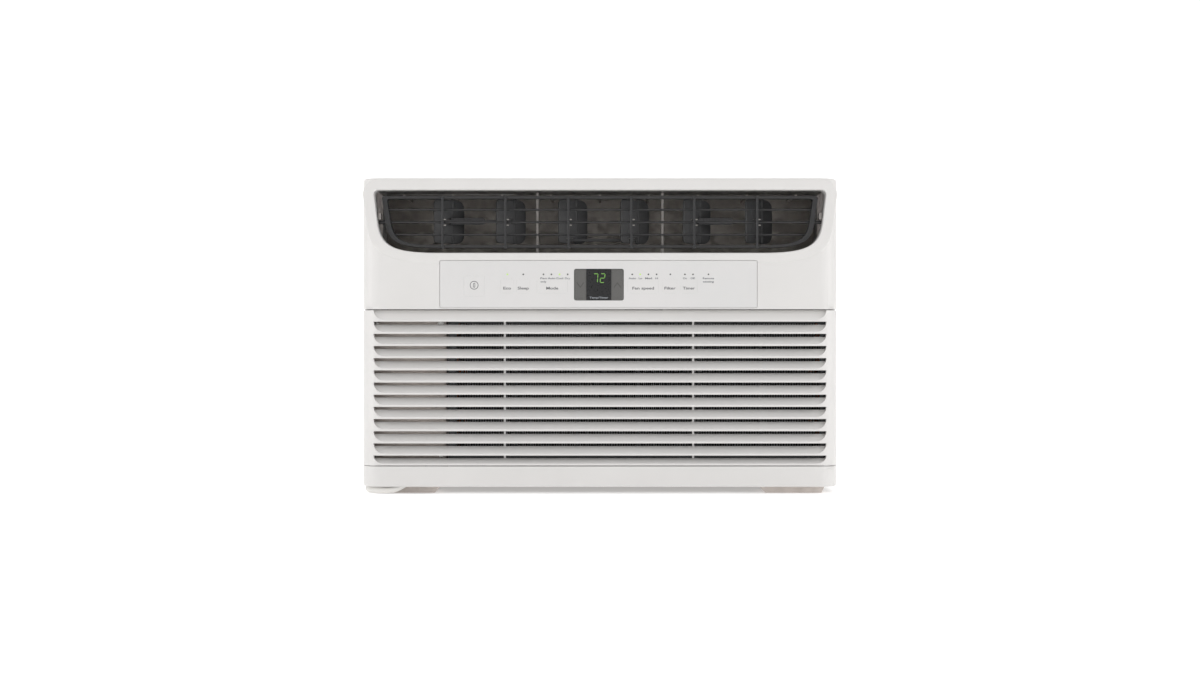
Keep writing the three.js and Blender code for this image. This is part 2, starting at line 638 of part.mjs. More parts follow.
// Fan motor on its bracket, and the turning parts on its shaft.
function fans() {
  const bore = onShaft(SHAFT.radius + 0.6, -200, 200, 12);
  const motor = join([onShaft(42, 14, 78, 20), onShaft(16, 6, 86, 12)]).subtract(bore);
  place("fan_motor", motor, "black");
  const { x, z } = SHAFT;
  const bracket = join([
    box(x - 60, x + 60, 22, 70, FOOT_HEIGHT + 1.8, FOOT_HEIGHT + 4.3),
    box(x - 34, x + 34, 24, 27, FOOT_HEIGHT + 3, z - 12),
    box(x - 34, x + 34, 65, 68, FOOT_HEIGHT + 3, z - 12),
  ]).subtract(onShaft(42 + GAP, 10, 82, 20));
  place("motor_bracket", bracket, "zinc");

  place("fan_shaft", onShaft(SHAFT.radius, WHEEL.front + 8, FAN.y + 14, 12), "zinc");
  const hubBore = onShaft(SHAFT.radius + GAP, -200, 200, 12);
  const { radius, front, back } = WHEEL;
  const wheel = [
    onShaft(radius, back - 2, back),
    onShaft(16, front + 20, back, 12),
    onShaft(radius, front, front + 3).subtract(onShaft(radius - 9, front - 1, front + 4)),
  ];
  for (let i = 0; i < 20; i += 1) {
    const blade = box(radius - 9, radius - 0.5, front + 1, back - 1, -0.8, 0.8);
    wheel.push(blade.rotate([0, 18 * i, 0]).translate([x, 0, z]));
  }
  place("blower_wheel", join(wheel).subtract(hubBore), "black");

  const fan = [
    onShaft(FAN.hub, FAN.y - 12, FAN.y + 12, 16),
    onShaft(FAN.ring, FAN.y - 4, FAN.y + 4).subtract(onShaft(FAN.ring - 2.5, FAN.y - 5, FAN.y + 5)),
  ];
  for (let i = 0; i < 5; i += 1) {
    const blade = box(FAN.hub - 3, FAN.ring - 1.2, -1, 1, -26, 26);
    fan.push(blade.rotate([32, 0, 0]).rotate([0, 72 * i, 0]).translate([x, FAN.y, z]));
  }
  place("condenser_fan", join(fan).subtract(hubBore), "black");
}

// Electrical box behind the left of the grille, and the guard at the back.
function boxes() {
  const cover = box(-228, -152.5, FRONT + 18, FRONT + 19.5, 32, 176);
  const body = box(-226, -154.5, FRONT + 19, -126, 34, 140).subtract(
    box(-224.5, -156, FRONT + 19.5, -127.5, 35.5, 141),
  );
  place("electrical_box", cover.add(body), "zinc");
  place("capacitor", rod([-190, -150, 36], [-190, -150, 104], 19, 16), "fins");

  const guard = box(-230, 230, 187, 189, FOOT_HEIGHT + 1.8, 308);
  const gaps = [];
  for (let column = 0; column < 9; column += 1) {
    for (let row = 0; row < 6; row += 1) {
      const x0 = -222 + column * 50;
      const z0 = 36 + row * 45;
      gaps.push(box(x0, x0 + 44, 186, 190, z0, z0 + 39));
    }
  }
  place("rear_guard", cut(guard, gaps), "zinc");
}

// Power cord: from the gland in the base, back along the left side, into a coil, and to the plug.
function powerCord() {
  const { from, to, radius } = GLAND;
  place("cord_gland", rod(from, to, radius[0], 12, radius[1]), "black");
  const lead = [
    [-187.3, -185.8, 12.8],
    [-191.6, -186.1, 10.2],
    [-196, -186.4, 7.6],
    [-201, -186.8, 5.1],
    [-207, -187.1, 3.8],
    [-214, -186.4, 3.5],
    [-221, -183.4, 3.5],
    [-227.2, -177.4, 3.5],
    [-230.4, -169, 3.5],
    [-231.2, -158, 3.5],
    [-231, -110, 3.5],
    [-231, -50, 3.5],
    [-231, 30, 3.5],
    [-231, 110, 3.5],
    [-230, 160, 3.5],
    [-224, 184, 3.5],
    [-210, 206, 3.5],
    [-197, 222, 3.5],
    [-191.8, 236, 3.5],
  ];
  place("power_cord", tube(lead, CORD_RADIUS, 8, 44), "cord");

  const section = [
    [COIL.inner, 0.1],
    [COIL.outer, 0.1],
    [COIL.outer, COIL.height],
    [COIL.inner, COIL.height],
    [COIL.inner, 0.1],
  ].map(([r, z]) => new THREE.Vector2(r, z));
  const ring = solid(new THREE.LatheGeometry(section, 32).rotateX(Math.PI / 2));
  place("power_cord_coil", ring, "cord", [COIL.x, COIL.y, 0]);

  const tail = [
    [-124.2, 303.3, 17.4],
    [-100, 302.5, 13],
    [-75, 301, 7.6],
    [-50, 299, 4.4],
    [-22, 297.4, 3.9],
    [0, 296, 7],
    [16, 295, 12],
    [33.2, 294.6, 15],
  ];
  place("power_cord_tail", tube(tail, CORD_RADIUS, 8, 14), "cord");

  const { x, y, z, length, width, height } = PLUG;
  const relief = rod([x - 26, y, z], [x + 1, y, z], 4.2, 12, 7);
  const shape = rounded(x, x + length, y - width / 2, y + width / 2, 8);
  const button = { half: 6, depth: 5, top: height + 1.2 };
  const buttons = [
    { name: "plug_test_button", y: y - 9 },
    { name: "plug_reset_button", y: y + 9 },
  ];
  const end = x + length;
  const blades = [-6.35, 6.35].map((dy) => box(end - 1, end + 17, y + dy - 0.8, y + dy + 0.8, z - 3, z + 3));
  const ground = rod([end - 1, y, z - 10], [end + 20, y, z - 10], 2.4, 10);
  const pockets = buttons.map((b) => {
    const h = button.half + GAP;
    return box(x + 24 - h, x + 24 + h, b.y - h, b.y + h, height - button.depth - 2, height + 1);
  });
  const plug = cut(join([prismZ(shape, 0.1, height), relief, ...blades, ground]), pockets);
  place("plug", plug, "cord");
  buttons.forEach((b) => {
    const { half, depth, top } = button;
    place(b.name, box(-half, half, -half, half, height - depth, top), "surround", [x + 24, b.y, 0]);
  });
}

frontFrame();
intakeGrille();
airFilter();
controlPanel();
outletDuct();
louverFrame();
vanes();
cabinet();
coolingCircuit();
airPath();
fans();
boxes();
powerCord();

export default model;
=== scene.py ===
"""Visual model of a compact window air conditioner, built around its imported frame."""
import logging
import math
from dataclasses import dataclass
from enum import Enum
from typing import Iterable, Sequence

import bmesh
import bpy
import numpy as np
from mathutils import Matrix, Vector


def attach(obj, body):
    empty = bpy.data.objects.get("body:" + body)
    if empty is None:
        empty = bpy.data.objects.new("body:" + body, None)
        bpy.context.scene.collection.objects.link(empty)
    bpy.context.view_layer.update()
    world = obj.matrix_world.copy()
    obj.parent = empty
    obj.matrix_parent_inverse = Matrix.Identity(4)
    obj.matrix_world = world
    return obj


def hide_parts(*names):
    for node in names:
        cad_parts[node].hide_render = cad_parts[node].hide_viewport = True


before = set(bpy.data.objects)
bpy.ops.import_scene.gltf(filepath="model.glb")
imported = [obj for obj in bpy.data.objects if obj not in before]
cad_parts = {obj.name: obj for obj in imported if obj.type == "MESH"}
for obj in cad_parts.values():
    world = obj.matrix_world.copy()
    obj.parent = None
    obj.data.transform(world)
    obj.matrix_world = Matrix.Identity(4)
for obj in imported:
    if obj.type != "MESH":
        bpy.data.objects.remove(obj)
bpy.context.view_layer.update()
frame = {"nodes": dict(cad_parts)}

LOG = logging.getLogger("air_conditioner")
MM = 0.001
Array = np.ndarray
Shell = tuple[Array, list]


# Small tools for materials ---------------------------------------------------------------------

def linear(code: str, alpha: float = 1.0) -> tuple[float, float, float, float]:
    """Turn an sRGB hex colour into a linear RGBA tuple.

    Args:
        code: six hex digits.
        alpha: opacity.
    Returns:
        The linear colour.
    """
    parts = [int(code[i:i + 2], 16) / 255 for i in (0, 2, 4)]
    return (*[p / 12.92 if p <= 0.04045 else ((p + 0.055) / 1.055) ** 2.4 for p in parts], alpha)


def add_node(tree: bpy.types.NodeTree, kind: str, inputs: dict | None = None,
             **settings: object) -> bpy.types.Node:
    """Add one shader node.

    Args:
        tree: the node tree.
        kind: the node's type.
        inputs: socket names with a value, or with another node's output to link.
        settings: plain attributes of the node.
    Returns:
        The new node.
    """
    node = tree.nodes.new(kind)
    for key, value in settings.items():
        setattr(node, key, value)
    for key, value in (inputs or {}).items():
        if isinstance(value, bpy.types.NodeSocket):
            tree.links.new(value, node.inputs[key])
        else:
            node.inputs[key].default_value = value
    return node


class Pattern(Enum):
    """The surface that a finish's making leaves on it."""
    SPARK_GRAIN = "spark grain"
    ORANGE_PEEL = "orange peel"
    SPANGLE = "spangle"
    DRAWN = "drawn"
    BEADS = "beads"
    PLAIN = "plain"


@dataclass(frozen=True)
class Finish:
    """One real finish: a base colour with a slow variation, and a surface pattern of a real size.

    The pattern's size, in millimetres, sets its texture scale, and relief is the bump's height.
    """
    name: str
    colour: str
    shade: str
    roughness: float
    pattern: Pattern = Pattern.PLAIN
    size_mm: float = 1.0
    relief_mm: float = 0.02
    metallic: float = 0.0
    ior: float = 1.5
    coat: float = 0.0
    patch_mm: float = 60.0
    spread: float = 0.06
    glow: float = 0.0

    def build(self) -> bpy.types.Material:
        """Make the material the first time it is asked for.

        Returns:
            The material.
        """
        made = bpy.data.materials.get(self.name)
        if made:
            return made
        made = bpy.data.materials.new(self.name)
        made.use_nodes = True
        tree = made.node_tree
        tree.nodes.clear()
        out = add_node(tree, "ShaderNodeOutputMaterial")
        shader = add_node(tree, "ShaderNodeBsdfPrincipled")
        tree.links.new(shader.outputs["BSDF"], out.inputs["Surface"])
        shader.inputs["Metallic"].default_value = self.metallic
        if self.metallic == 0:
            shader.inputs["IOR"].default_value = self.ior
        shader.inputs["Coat Weight"].default_value = self.coat
        shader.inputs["Coat Roughness"].default_value = 0.12
        if self.glow:
            shader.inputs["Emission Color"].default_value = linear(self.colour)
            shader.inputs["Emission Strength"].default_value = self.glow
        place = add_node(tree, "ShaderNodeTexCoord").outputs["Object"]
        patches = add_node(tree, "ShaderNodeTexNoise", {
            "Vector": place, "Scale": 1 / (self.patch_mm * MM), "Detail": 3.0, "Roughness": 0.55})
        tone = self._tone(tree, patches.outputs["Fac"])
        tree.links.new(tone, shader.inputs["Base Color"])
        height, fine = self._pattern(tree, place)
        rough = add_node(tree, "ShaderNodeMapRange", {
            "Value": fine, "From Min": 0.25, "From Max": 0.75,
            "To Min": max(self.roughness - self.spread, 0.03),
            "To Max": min(self.roughness + self.spread, 1.0)})
        tree.links.new(rough.outputs["Result"], shader.inputs["Roughness"])
        if height is not None:
            bump = add_node(tree, "ShaderNodeBump", {
                "Height": height, "Distance": self.relief_mm * MM, "Strength": 1.0})
            tree.links.new(bump.outputs["Normal"], shader.inputs["Normal"])
        return made

    def _tone(self, tree: bpy.types.NodeTree, factor: bpy.types.NodeSocket) -> bpy.types.NodeSocket:
        """Mix the colour and its shade by a soft factor.

        Args:
            tree: the node tree.
            factor: the socket that mixes them.
        Returns:
            The colour socket.
        """
        ramp = add_node(tree, "ShaderNodeValToRGB", {"Fac": factor})
        ramp.color_ramp.elements[0].position = 0.3
        ramp.color_ramp.elements[0].color = linear(self.shade)
        ramp.color_ramp.elements[1].position = 0.7
        ramp.color_ramp.elements[1].color = linear(self.colour)
        return ramp.outputs["Color"]

    def _pattern(self, tree: bpy.types.NodeTree, place: bpy.types.NodeSocket
                 ) -> tuple[bpy.types.NodeSocket | None, bpy.types.NodeSocket]:
        """Add the surface pattern.

        Args:
            tree: the node tree.
            place: the object coordinates.
        Returns:
            The height for the bump, or None, and the value that varies the roughness.
        """
        scale = 1 / (self.size_mm * MM)
        if self.pattern in (Pattern.SPARK_GRAIN, Pattern.ORANGE_PEEL, Pattern.PLAIN):
            noise = add_node(tree, "ShaderNodeTexNoise", {
                "Vector": place, "Scale": scale,
                "Detail": 4.0 if self.pattern is Pattern.SPARK_GRAIN else 1.0})
            fac = noise.outputs["Fac"]
            return (None if self.pattern is Pattern.PLAIN else fac), fac
        if self.pattern is Pattern.DRAWN:
            stretch = add_node(tree, "ShaderNodeMapping", {
                "Vector": place, "Scale": (scale, scale * 0.05, scale)})
            noise = add_node(tree, "ShaderNodeTexNoise", {
                "Vector": stretch.outputs["Vector"], "Scale": 1.0, "Detail": 2.0})
            return noise.outputs["Fac"], noise.outputs["Fac"]
        cells = add_node(tree, "ShaderNodeTexVoronoi", {"Vector": place, "Scale": scale})
        if self.pattern is Pattern.BEADS:
            return cells.outputs["Distance"], cells.outputs["Distance"]
        grey = add_node(tree, "ShaderNodeSeparateColor", {"Color": cells.outputs["Color"]})
        return None, grey.outputs["Red"]


# The finishes of this object. Grain sizes are real ones, drawn coarser where too fine to be seen.
# Moulded ABS with a fine spark-eroded grain: soft highlights and no mirror reflections.
WHITE_ABS = Finish("white_moulded_abs", "d5d3d1", "d2d0ce", 0.42, Pattern.SPARK_GRAIN, 0.7, 0.012)
# The panel's printed polyester film is smoother and a touch cooler than the moulding.
PANEL_FILM = Finish("printed_polyester_film", "d2d0cf", "cfcecd", 0.34, Pattern.ORANGE_PEEL, 1.6, 0.006)
ARROW_ABS = Finish("mid_grey_abs", "5d5c5a", "595856", 0.4, Pattern.SPARK_GRAIN, 0.6, 0.008)
SMOKED_LENS = Finish("smoked_polycarbonate", "1f1f20", "1c1c1d", 0.3, ior=1.45)
CHARCOAL_ABS = Finish("charcoal_moulded_abs", "3e3e3f", "3a3a3b", 0.46, Pattern.SPARK_GRAIN, 0.6, 0.015)
# The duct's warm grey is drawn much paler than its plastic: painted light, standing in for the light that
# the tunnel's inside lacks.
DUCT_PAINTED_LIGHT_ABS = Finish("warm_grey_abs_with_painted_light", "dad2ce", "ccc4c0", 0.55, Pattern.SPARK_GRAIN, 0.8, 0.02)
# The louver is the vanes' charcoal plastic in a darker copy: painted shade, because it stands in front of
# them and catches more light.
LOUVER_PAINTED_SHADE_ABS = Finish("charcoal_abs_with_painted_shade", "29292a", "262627", 0.46, Pattern.SPARK_GRAIN, 0.6, 0.015)
# Pale nylon of the vanes' bearing clips; the same finish paints the highlights on the louver's clips and
# the collar's pads.
CLIP_AND_HIGHLIGHT_NYLON = Finish("natural_nylon_and_painted_highlight", "8f8b87", "898581", 0.5, Pattern.SPARK_GRAIN, 0.6, 0.01)
POST_ABS = Finish("pale_grey_moulded_abs", "b5b0ac", "aca7a3", 0.5, Pattern.SPARK_GRAIN, 0.8, 0.015)
# Slate plastic of the thumb levers and the test button; the same finish paints highlight lines on the
# louver's ring and bars.
LEVER_AND_HIGHLIGHT_ABS = Finish("slate_abs_and_painted_highlight", "454445", "403f40", 0.5, Pattern.SPARK_GRAIN, 0.5, 0.02)
# Powder coat flows out to a shallow orange peel, about 1.5 mm across.
CABINET_COAT = Finish("grey_powder_coated_steel", "c0bfbb", "bab9b5", 0.44, Pattern.ORANGE_PEEL, 1.5, 0.02)
# Hot-dip zinc freezes in flat crystals that each reflect a little differently.
ZINC_STEEL = Finish("zinc_coated_steel", "aba59f", "9b9590", 0.42, Pattern.SPANGLE, 7.0, 0.0, 0.85,
                    spread=0.1, patch_mm=14.0)
# Zinc steel drawn pale and almost without metal: painted light and painted reflection, standing in for the
# sheen that the zinc shows in the shade under the cabinet and behind the grille.
PALE_ZINC_PAINTED_LIGHT = Finish("zinc_steel_with_painted_light", "d3cac4", "c4bbb5", 0.5, Pattern.SPANGLE, 5.0, 0.0, 0.12,
                    spread=0.1, patch_mm=12.0)
FIN_ALUMINIUM = Finish("rolled_fin_aluminium", "c9ccce", "b4b7b9", 0.34, Pattern.DRAWN, 1.2, 0.01, 0.95,
                       patch_mm=25.0)
DRAWN_COPPER = Finish("drawn_copper", "b8734a", "9c5f3e", 0.3, Pattern.DRAWN, 1.5, 0.01, 0.95,
                      patch_mm=20.0, spread=0.1)
BLACK_ENAMEL = Finish("black_enamelled_steel", "1f1f21", "1a1a1c", 0.38, Pattern.ORANGE_PEEL, 2.0, 0.03)
FAN_NYLON = Finish("glass_filled_black_nylon", "242426", "1c1c1e", 0.5, Pattern.SPARK_GRAIN, 1.2, 0.03)
BEAD_FOAM = Finish("expanded_polystyrene", "e9e7e1", "dedcd5", 0.85, Pattern.BEADS, 3.5, 0.15)
SOLDER_MASK = Finish("green_solder_mask", "2d6a46", "275d3d", 0.35, Pattern.ORANGE_PEEL, 1.0, 0.01)
CORD_VINYL = Finish("light_grey_cord_vinyl", "dddbd7", "d5d3cf", 0.42, Pattern.ORANGE_PEEL, 1.2, 0.02)
GLAND_RUBBER = Finish("black_rubber", "1c1c1d", "171718", 0.6, Pattern.SPARK_GRAIN, 0.8, 0.02)
BRIGHT_STEEL = Finish("nickel_plated_steel", "c4c3c0", "b3b2af", 0.26, Pattern.DRAWN, 0.8, 0.004, 1.0)
BRASS_BLADE = Finish("nickel_plated_brass", "cfc9b8", "c0baa9", 0.24, Pattern.DRAWN, 0.6, 0.004, 1.0)
GREY_INK = Finish("grey_print_ink", "57585a", "545557", 0.5)
PALE_INK = Finish("pale_print_ink", "77797c", "737578", 0.5)
CHEVRON_INK = Finish("dark_print_ink", "474644", "444341", 0.5)
LENS_INK = Finish("blue_grey_print_ink", "8d9196", "898d92", 0.5)
LAMP_OFF = Finish("dark_lamp_lens", "3a3a39", "343433", 0.3)
# Digits and lit lamps are diodes behind a filter, so they glow without lighting the panel.
LAMP_GREEN = Finish("lit_green_lamp", "a9d155", "a3cb50", 0.4, glow=0.35)
DIGIT_GREEN = Finish("lit_green_digit", "74a84e", "70a44a", 0.4, glow=0.3)
SCREEN_FIBRE = Finish("black_filter_netting", "2a2a2b", "222223", 0.7, Pattern.BEADS, 2.5, 0.3)
FLOOR_PAPER = Finish("white_studio_paper", "ffffff", "fefefe", 0.9, glow=0.3)


# Small tools for shapes ------------------------------------------------------------------------

class Axis(Enum):
    """The direction a prism runs along, with the two axes that its outline lies in."""
    X = (1, 2, 0)
    Y = (0, 2, 1)
    Z = (0, 1, 2)


def rounded_rect(x0: float, x1: float, z0: float, z1: float, r: float, steps: int = 6) -> Array:
    """A rectangle with quarter-circle corners, anticlockwise.

    Args:
        x0, x1, z0, z1: the sides.
        r: the corners' radius.
        steps: segments in each corner.
    Returns:
        The outline's points.
    """
    turn = np.linspace(0, np.pi / 2, steps + 1)
    corners = [((x1 - r, z0 + r), -np.pi / 2), ((x1 - r, z1 - r), 0.0),
               ((x0 + r, z1 - r), np.pi / 2), ((x0 + r, z0 + r), np.pi)]
    return np.concatenate([np.stack([c[0] + r * np.cos(a + turn), c[1] + r * np.sin(a + turn)], 1)
                           for c, a in corners])


def circle(x: float, z: float, r: float, steps: int = 32) -> Array:
    """A circle's points, anticlockwise.

    Args:
        x, z: the centre.
        r: the radius.
        steps: points around.
    Returns:
        The points.
    """
    a = np.linspace(0, 2 * np.pi, steps, endpoint=False)
    return np.stack([x + r * np.cos(a), z + r * np.sin(a)], 1)


def inset(outline: Array, amount: float) -> Array:
    """Move a closed outline inwards along the mean normal of its two edges at each point.

    Args:
        outline: anticlockwise points.
        amount: the distance, in the outline's units.
    Returns:
        The moved points.
    """
    ahead = np.roll(outline, -1, 0) - outline
    ahead = ahead / np.maximum(np.linalg.norm(ahead, axis=1, keepdims=True), 1e-12)
    normal = np.stack([-ahead[:, 1], ahead[:, 0]], 1)
    mean = normal + np.roll(normal, 1, 0)
    length = np.maximum((mean ** 2).sum(1, keepdims=True), 0.8)
    return outline + mean * (2 * amount / length)


def grid_faces(rows: int, columns: int, wrap_rows: bool, wrap_columns: bool) -> list:
    """Quads between neighbouring points of a grid, numbered row by row.

    Args:
        rows, columns: the grid's counts.
        wrap_rows, wrap_columns: whether the last one joins the first.
    Returns:
        The faces.
    """
    i = np.arange(rows if wrap_rows else rows - 1)
    j = np.arange(columns if wrap_columns else columns - 1)
    i, j = np.meshgrid(i, j, indexing="ij")
    n, m = (i + 1) % rows, (j + 1) % columns
    quads = np.stack([i * columns + j, i * columns + m, n * columns + m, n * columns + j], -1)
    return quads.reshape(-1, 4).tolist()


def loft(rings: Array, closed: bool = False) -> Shell:
    """Join closed rings of equal counts into a skin, capped at both ends or closed on itself.

    Args:
        rings: an array of rings by points by 3.
        closed: join the last ring to the first, in place of the caps.
    Returns:
        The shell's points and faces.
    """
    count, around = rings.shape[:2]
    faces = grid_faces(count, around, closed, True)
    if not closed:
        faces += [list(range(around))[::-1], list(range((count - 1) * around, count * around))]
    return rings.reshape(-1, 3), faces


def raised(outline: Array, level: float, axis: Axis) -> Array:
    """Put an outline into space.

    Args:
        outline: points in the other two axes.
        level: where along the axis.
        axis: the axis it stands across.
    Returns:
        Points in space.
    """
    points = np.zeros((len(outline), 3))
    a, b, c = axis.value
    points[:, a], points[:, b], points[:, c] = outline[:, 0], outline[:, 1], level
    return points


def prism(outline: Array, low: float, high: float, axis: Axis = Axis.Y, bevel: float = 0.0,
          steps: int = 3) -> Shell:
    """A straight prism of an outline whose two end edges are rounded by a quarter circle.

    Args:
        outline: anticlockwise points in the other two axes.
        low, high: the ends along the axis.
        axis: the direction it runs along.
        bevel: the radius of the rounded end edges.
        steps: segments in each rounding.
    Returns:
        The shell.
    """
    if not bevel:
        return loft(np.stack([raised(outline, low, axis), raised(outline, high, axis)]))
    turn = np.linspace(0, np.pi / 2, steps + 1)
    sides = [(bevel * (1 - np.sin(t)), low + bevel * (1 - np.cos(t))) for t in turn]
    sides += [(bevel * (1 - np.cos(t)), high - bevel * (1 - np.sin(t))) for t in turn]
    return loft(np.stack([raised(inset(outline, d), at, axis) for d, at in sides]))


def slab(x0: float, x1: float, y0: float, y1: float, z0: float, z1: float, r: float = 0.4,
         bevel: float = 0.2) -> Shell:
    """A block with rounded upright edges along Y and rounded front and back edges."""
    return prism(rounded_rect(x0, x1, z0, z1, r, 3), y0, y1, Axis.Y, bevel, 2)


def tube(points: Array, radius: float | Array, sides: int = 12) -> Shell:
    """A round tube carried along points, its frame turned as little as possible at each step.

    Args:
        points: the centre line.
        radius: one radius, or one for each point.
        sides: points around.
    Returns:
        The capped shell.
    """
    points = np.asarray(points, float)
    along = np.gradient(points, axis=0)
    along /= np.linalg.norm(along, axis=1, keepdims=True)
    side = np.cross(along[0], (0.0, 0.0, 1.0) if abs(along[0, 2]) < 0.9 else (1.0, 0.0, 0.0))
    sideways = []
    for t in along:
        side = side - t * (side @ t)
        side = side / np.linalg.norm(side)
        sideways.append(side)
    sideways = np.array(sideways)
    up = np.cross(along, sideways)
    a = np.linspace(0, 2 * np.pi, sides, endpoint=False)
    reach = np.broadcast_to(np.asarray(radius, float), (len(points),))[:, None, None]
    ring = sideways[:, None] * np.cos(a)[None, :, None] + up[:, None] * np.sin(a)[None, :, None]
    return loft(points[:, None] + reach * ring)


def rod(start: Sequence[float], end: Sequence[float], radius: float, sides: int = 16,
        bevel: float = 0.2) -> Shell:
    """A round bar with small rounded ends.

    Args:
        start, end: its end points.
        radius: its radius.
        sides: points around.
        bevel: the radius of the rounded ends.
    Returns:
        The shell.
    """
    start, end = np.asarray(start, float), np.asarray(end, float)
    length = np.linalg.norm(end - start)
    at = np.array([0, bevel * 0.3, bevel, length - bevel, length - bevel * 0.3, length]) / length
    size = radius - bevel * np.array([1, 0.3, 0, 0, 0.3, 1])
    return tube(start + (end - start) * at[:, None], size, sides)


def lathe(profile: Array, x: float, y: float, z: float, axis: Axis, steps: int = 48) -> Shell:
    """Turn a profile of (radius, level) pairs about an axis through a point into a capped skin."""
    return loft(np.stack([raised(circle(0, 0, max(r, 0.01), steps), level, axis)
                          for r, level in profile]) + np.array([x, y, z]))


def together(shells: Iterable[Shell]) -> Shell:
    """Put several shells into one.

    Args:
        shells: points and faces of each.
    Returns:
        The one shell.
    """
    points, faces, start = [], [], 0
    for verts, polys in shells:
        points.append(verts)
        faces += [[i + start for i in poly] for poly in polys]
        start += len(verts)
    return np.concatenate(points), faces


def mesh_of(name: str, shell: Shell) -> bpy.types.Object:
    """Make an object with its faces turned outwards.

    Args:
        name: the object's name.
        shell: points and faces in millimetres.
    Returns:
        The object.
    """
    mesh = bpy.data.meshes.new(name)
    mesh.from_pydata((shell[0] * MM).tolist(), [], shell[1])
    work = bmesh.new()
    work.from_mesh(mesh)
    bmesh.ops.recalc_face_normals(work, faces=work.faces)
    work.to_mesh(mesh)
    work.free()
    made = bpy.data.objects.new(name, mesh)
    bpy.context.scene.collection.objects.link(made)
    return made


def applied(made: bpy.types.Object) -> bpy.types.Object:
    """Replace an object's mesh by the result of its modifiers.

    Args:
        made: the object.
    Returns:
        The same object.
    """
    bpy.context.view_layer.update()
    seen = made.evaluated_get(bpy.context.evaluated_depsgraph_get())
    mesh = bpy.data.meshes.new_from_object(seen)
    made.modifiers.clear()
    old, made.data = made.data, mesh
    bpy.data.meshes.remove(old)
    return made


def carve(base: Shell, tools: Sequence[tuple[str, Shell]]) -> Shell:
    """Cut, join or intersect a shell with others, one after another.

    Args:
        base: the shell to work on.
        tools: pairs of DIFFERENCE, UNION or INTERSECT and a closed shell.
    Returns:
        The resulting shell, in millimetres.
    """
    body = mesh_of("carving", base)
    cutters = []
    for mode, shell in tools:
        cutter = mesh_of("cutter", shell)
        cutters.append(cutter)
        step = body.modifiers.new("carve", "BOOLEAN")
        step.operation, step.object, step.solver = mode, cutter, "EXACT"
    applied(body)
    mesh = body.data
    points = np.empty(len(mesh.vertices) * 3)
    mesh.vertices.foreach_get("co", points)
    faces = [list(p.vertices) for p in mesh.polygons]
    for old in (body, *cutters):
        data = old.data
        bpy.data.objects.remove(old)
        bpy.data.meshes.remove(data)
    return points.reshape(-1, 3) / MM, faces


def cut(base: Shell, *tools: Shell) -> Shell:
    """Take closed shells out of a shell, one after another."""
    return carve(base, [("DIFFERENCE", tool) for tool in tools])


def piece(name: str, shell: Shell, finish: Finish, body: str,
          replaces: Sequence[str] = (), soft: float = 0.0, angle: float = 32.0
          ) -> bpy.types.Object:
    """Make a finished, riding piece from a shell.

    Args:
        name: the piece's name.
        shell: its points and faces in millimetres.
        finish: its material.
        body: the body it rides on.
        replaces: CAD nodes that it stands for.
        soft: width of a bevel on its sharp edges, in millimetres.
        angle: edges sharper than this stay sharp, in degrees.
    Returns:
        The object.
    """
    made = mesh_of(name, shell)
    made.data.shade_smooth()
    made.data.set_sharp_from_angle(angle=math.radians(angle))
    if soft:
        bevel = made.modifiers.new("soft edges", "BEVEL")
        bevel.width, bevel.segments = soft * MM, 2
        bevel.limit_method, bevel.angle_limit = "ANGLE", math.radians(angle)
        bevel.harden_normals = True
    else:
        even = made.modifiers.new("even shading", "WEIGHTED_NORMAL")
        even.keep_sharp = True
    made.data.materials.append(finish.build())
    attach(made, body)
    if replaces:
        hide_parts(*replaces)
    LOG.info("%s: %d faces", name, len(made.data.polygons))
    return made


# Room, camera and light ------------------------------------------------------------------------

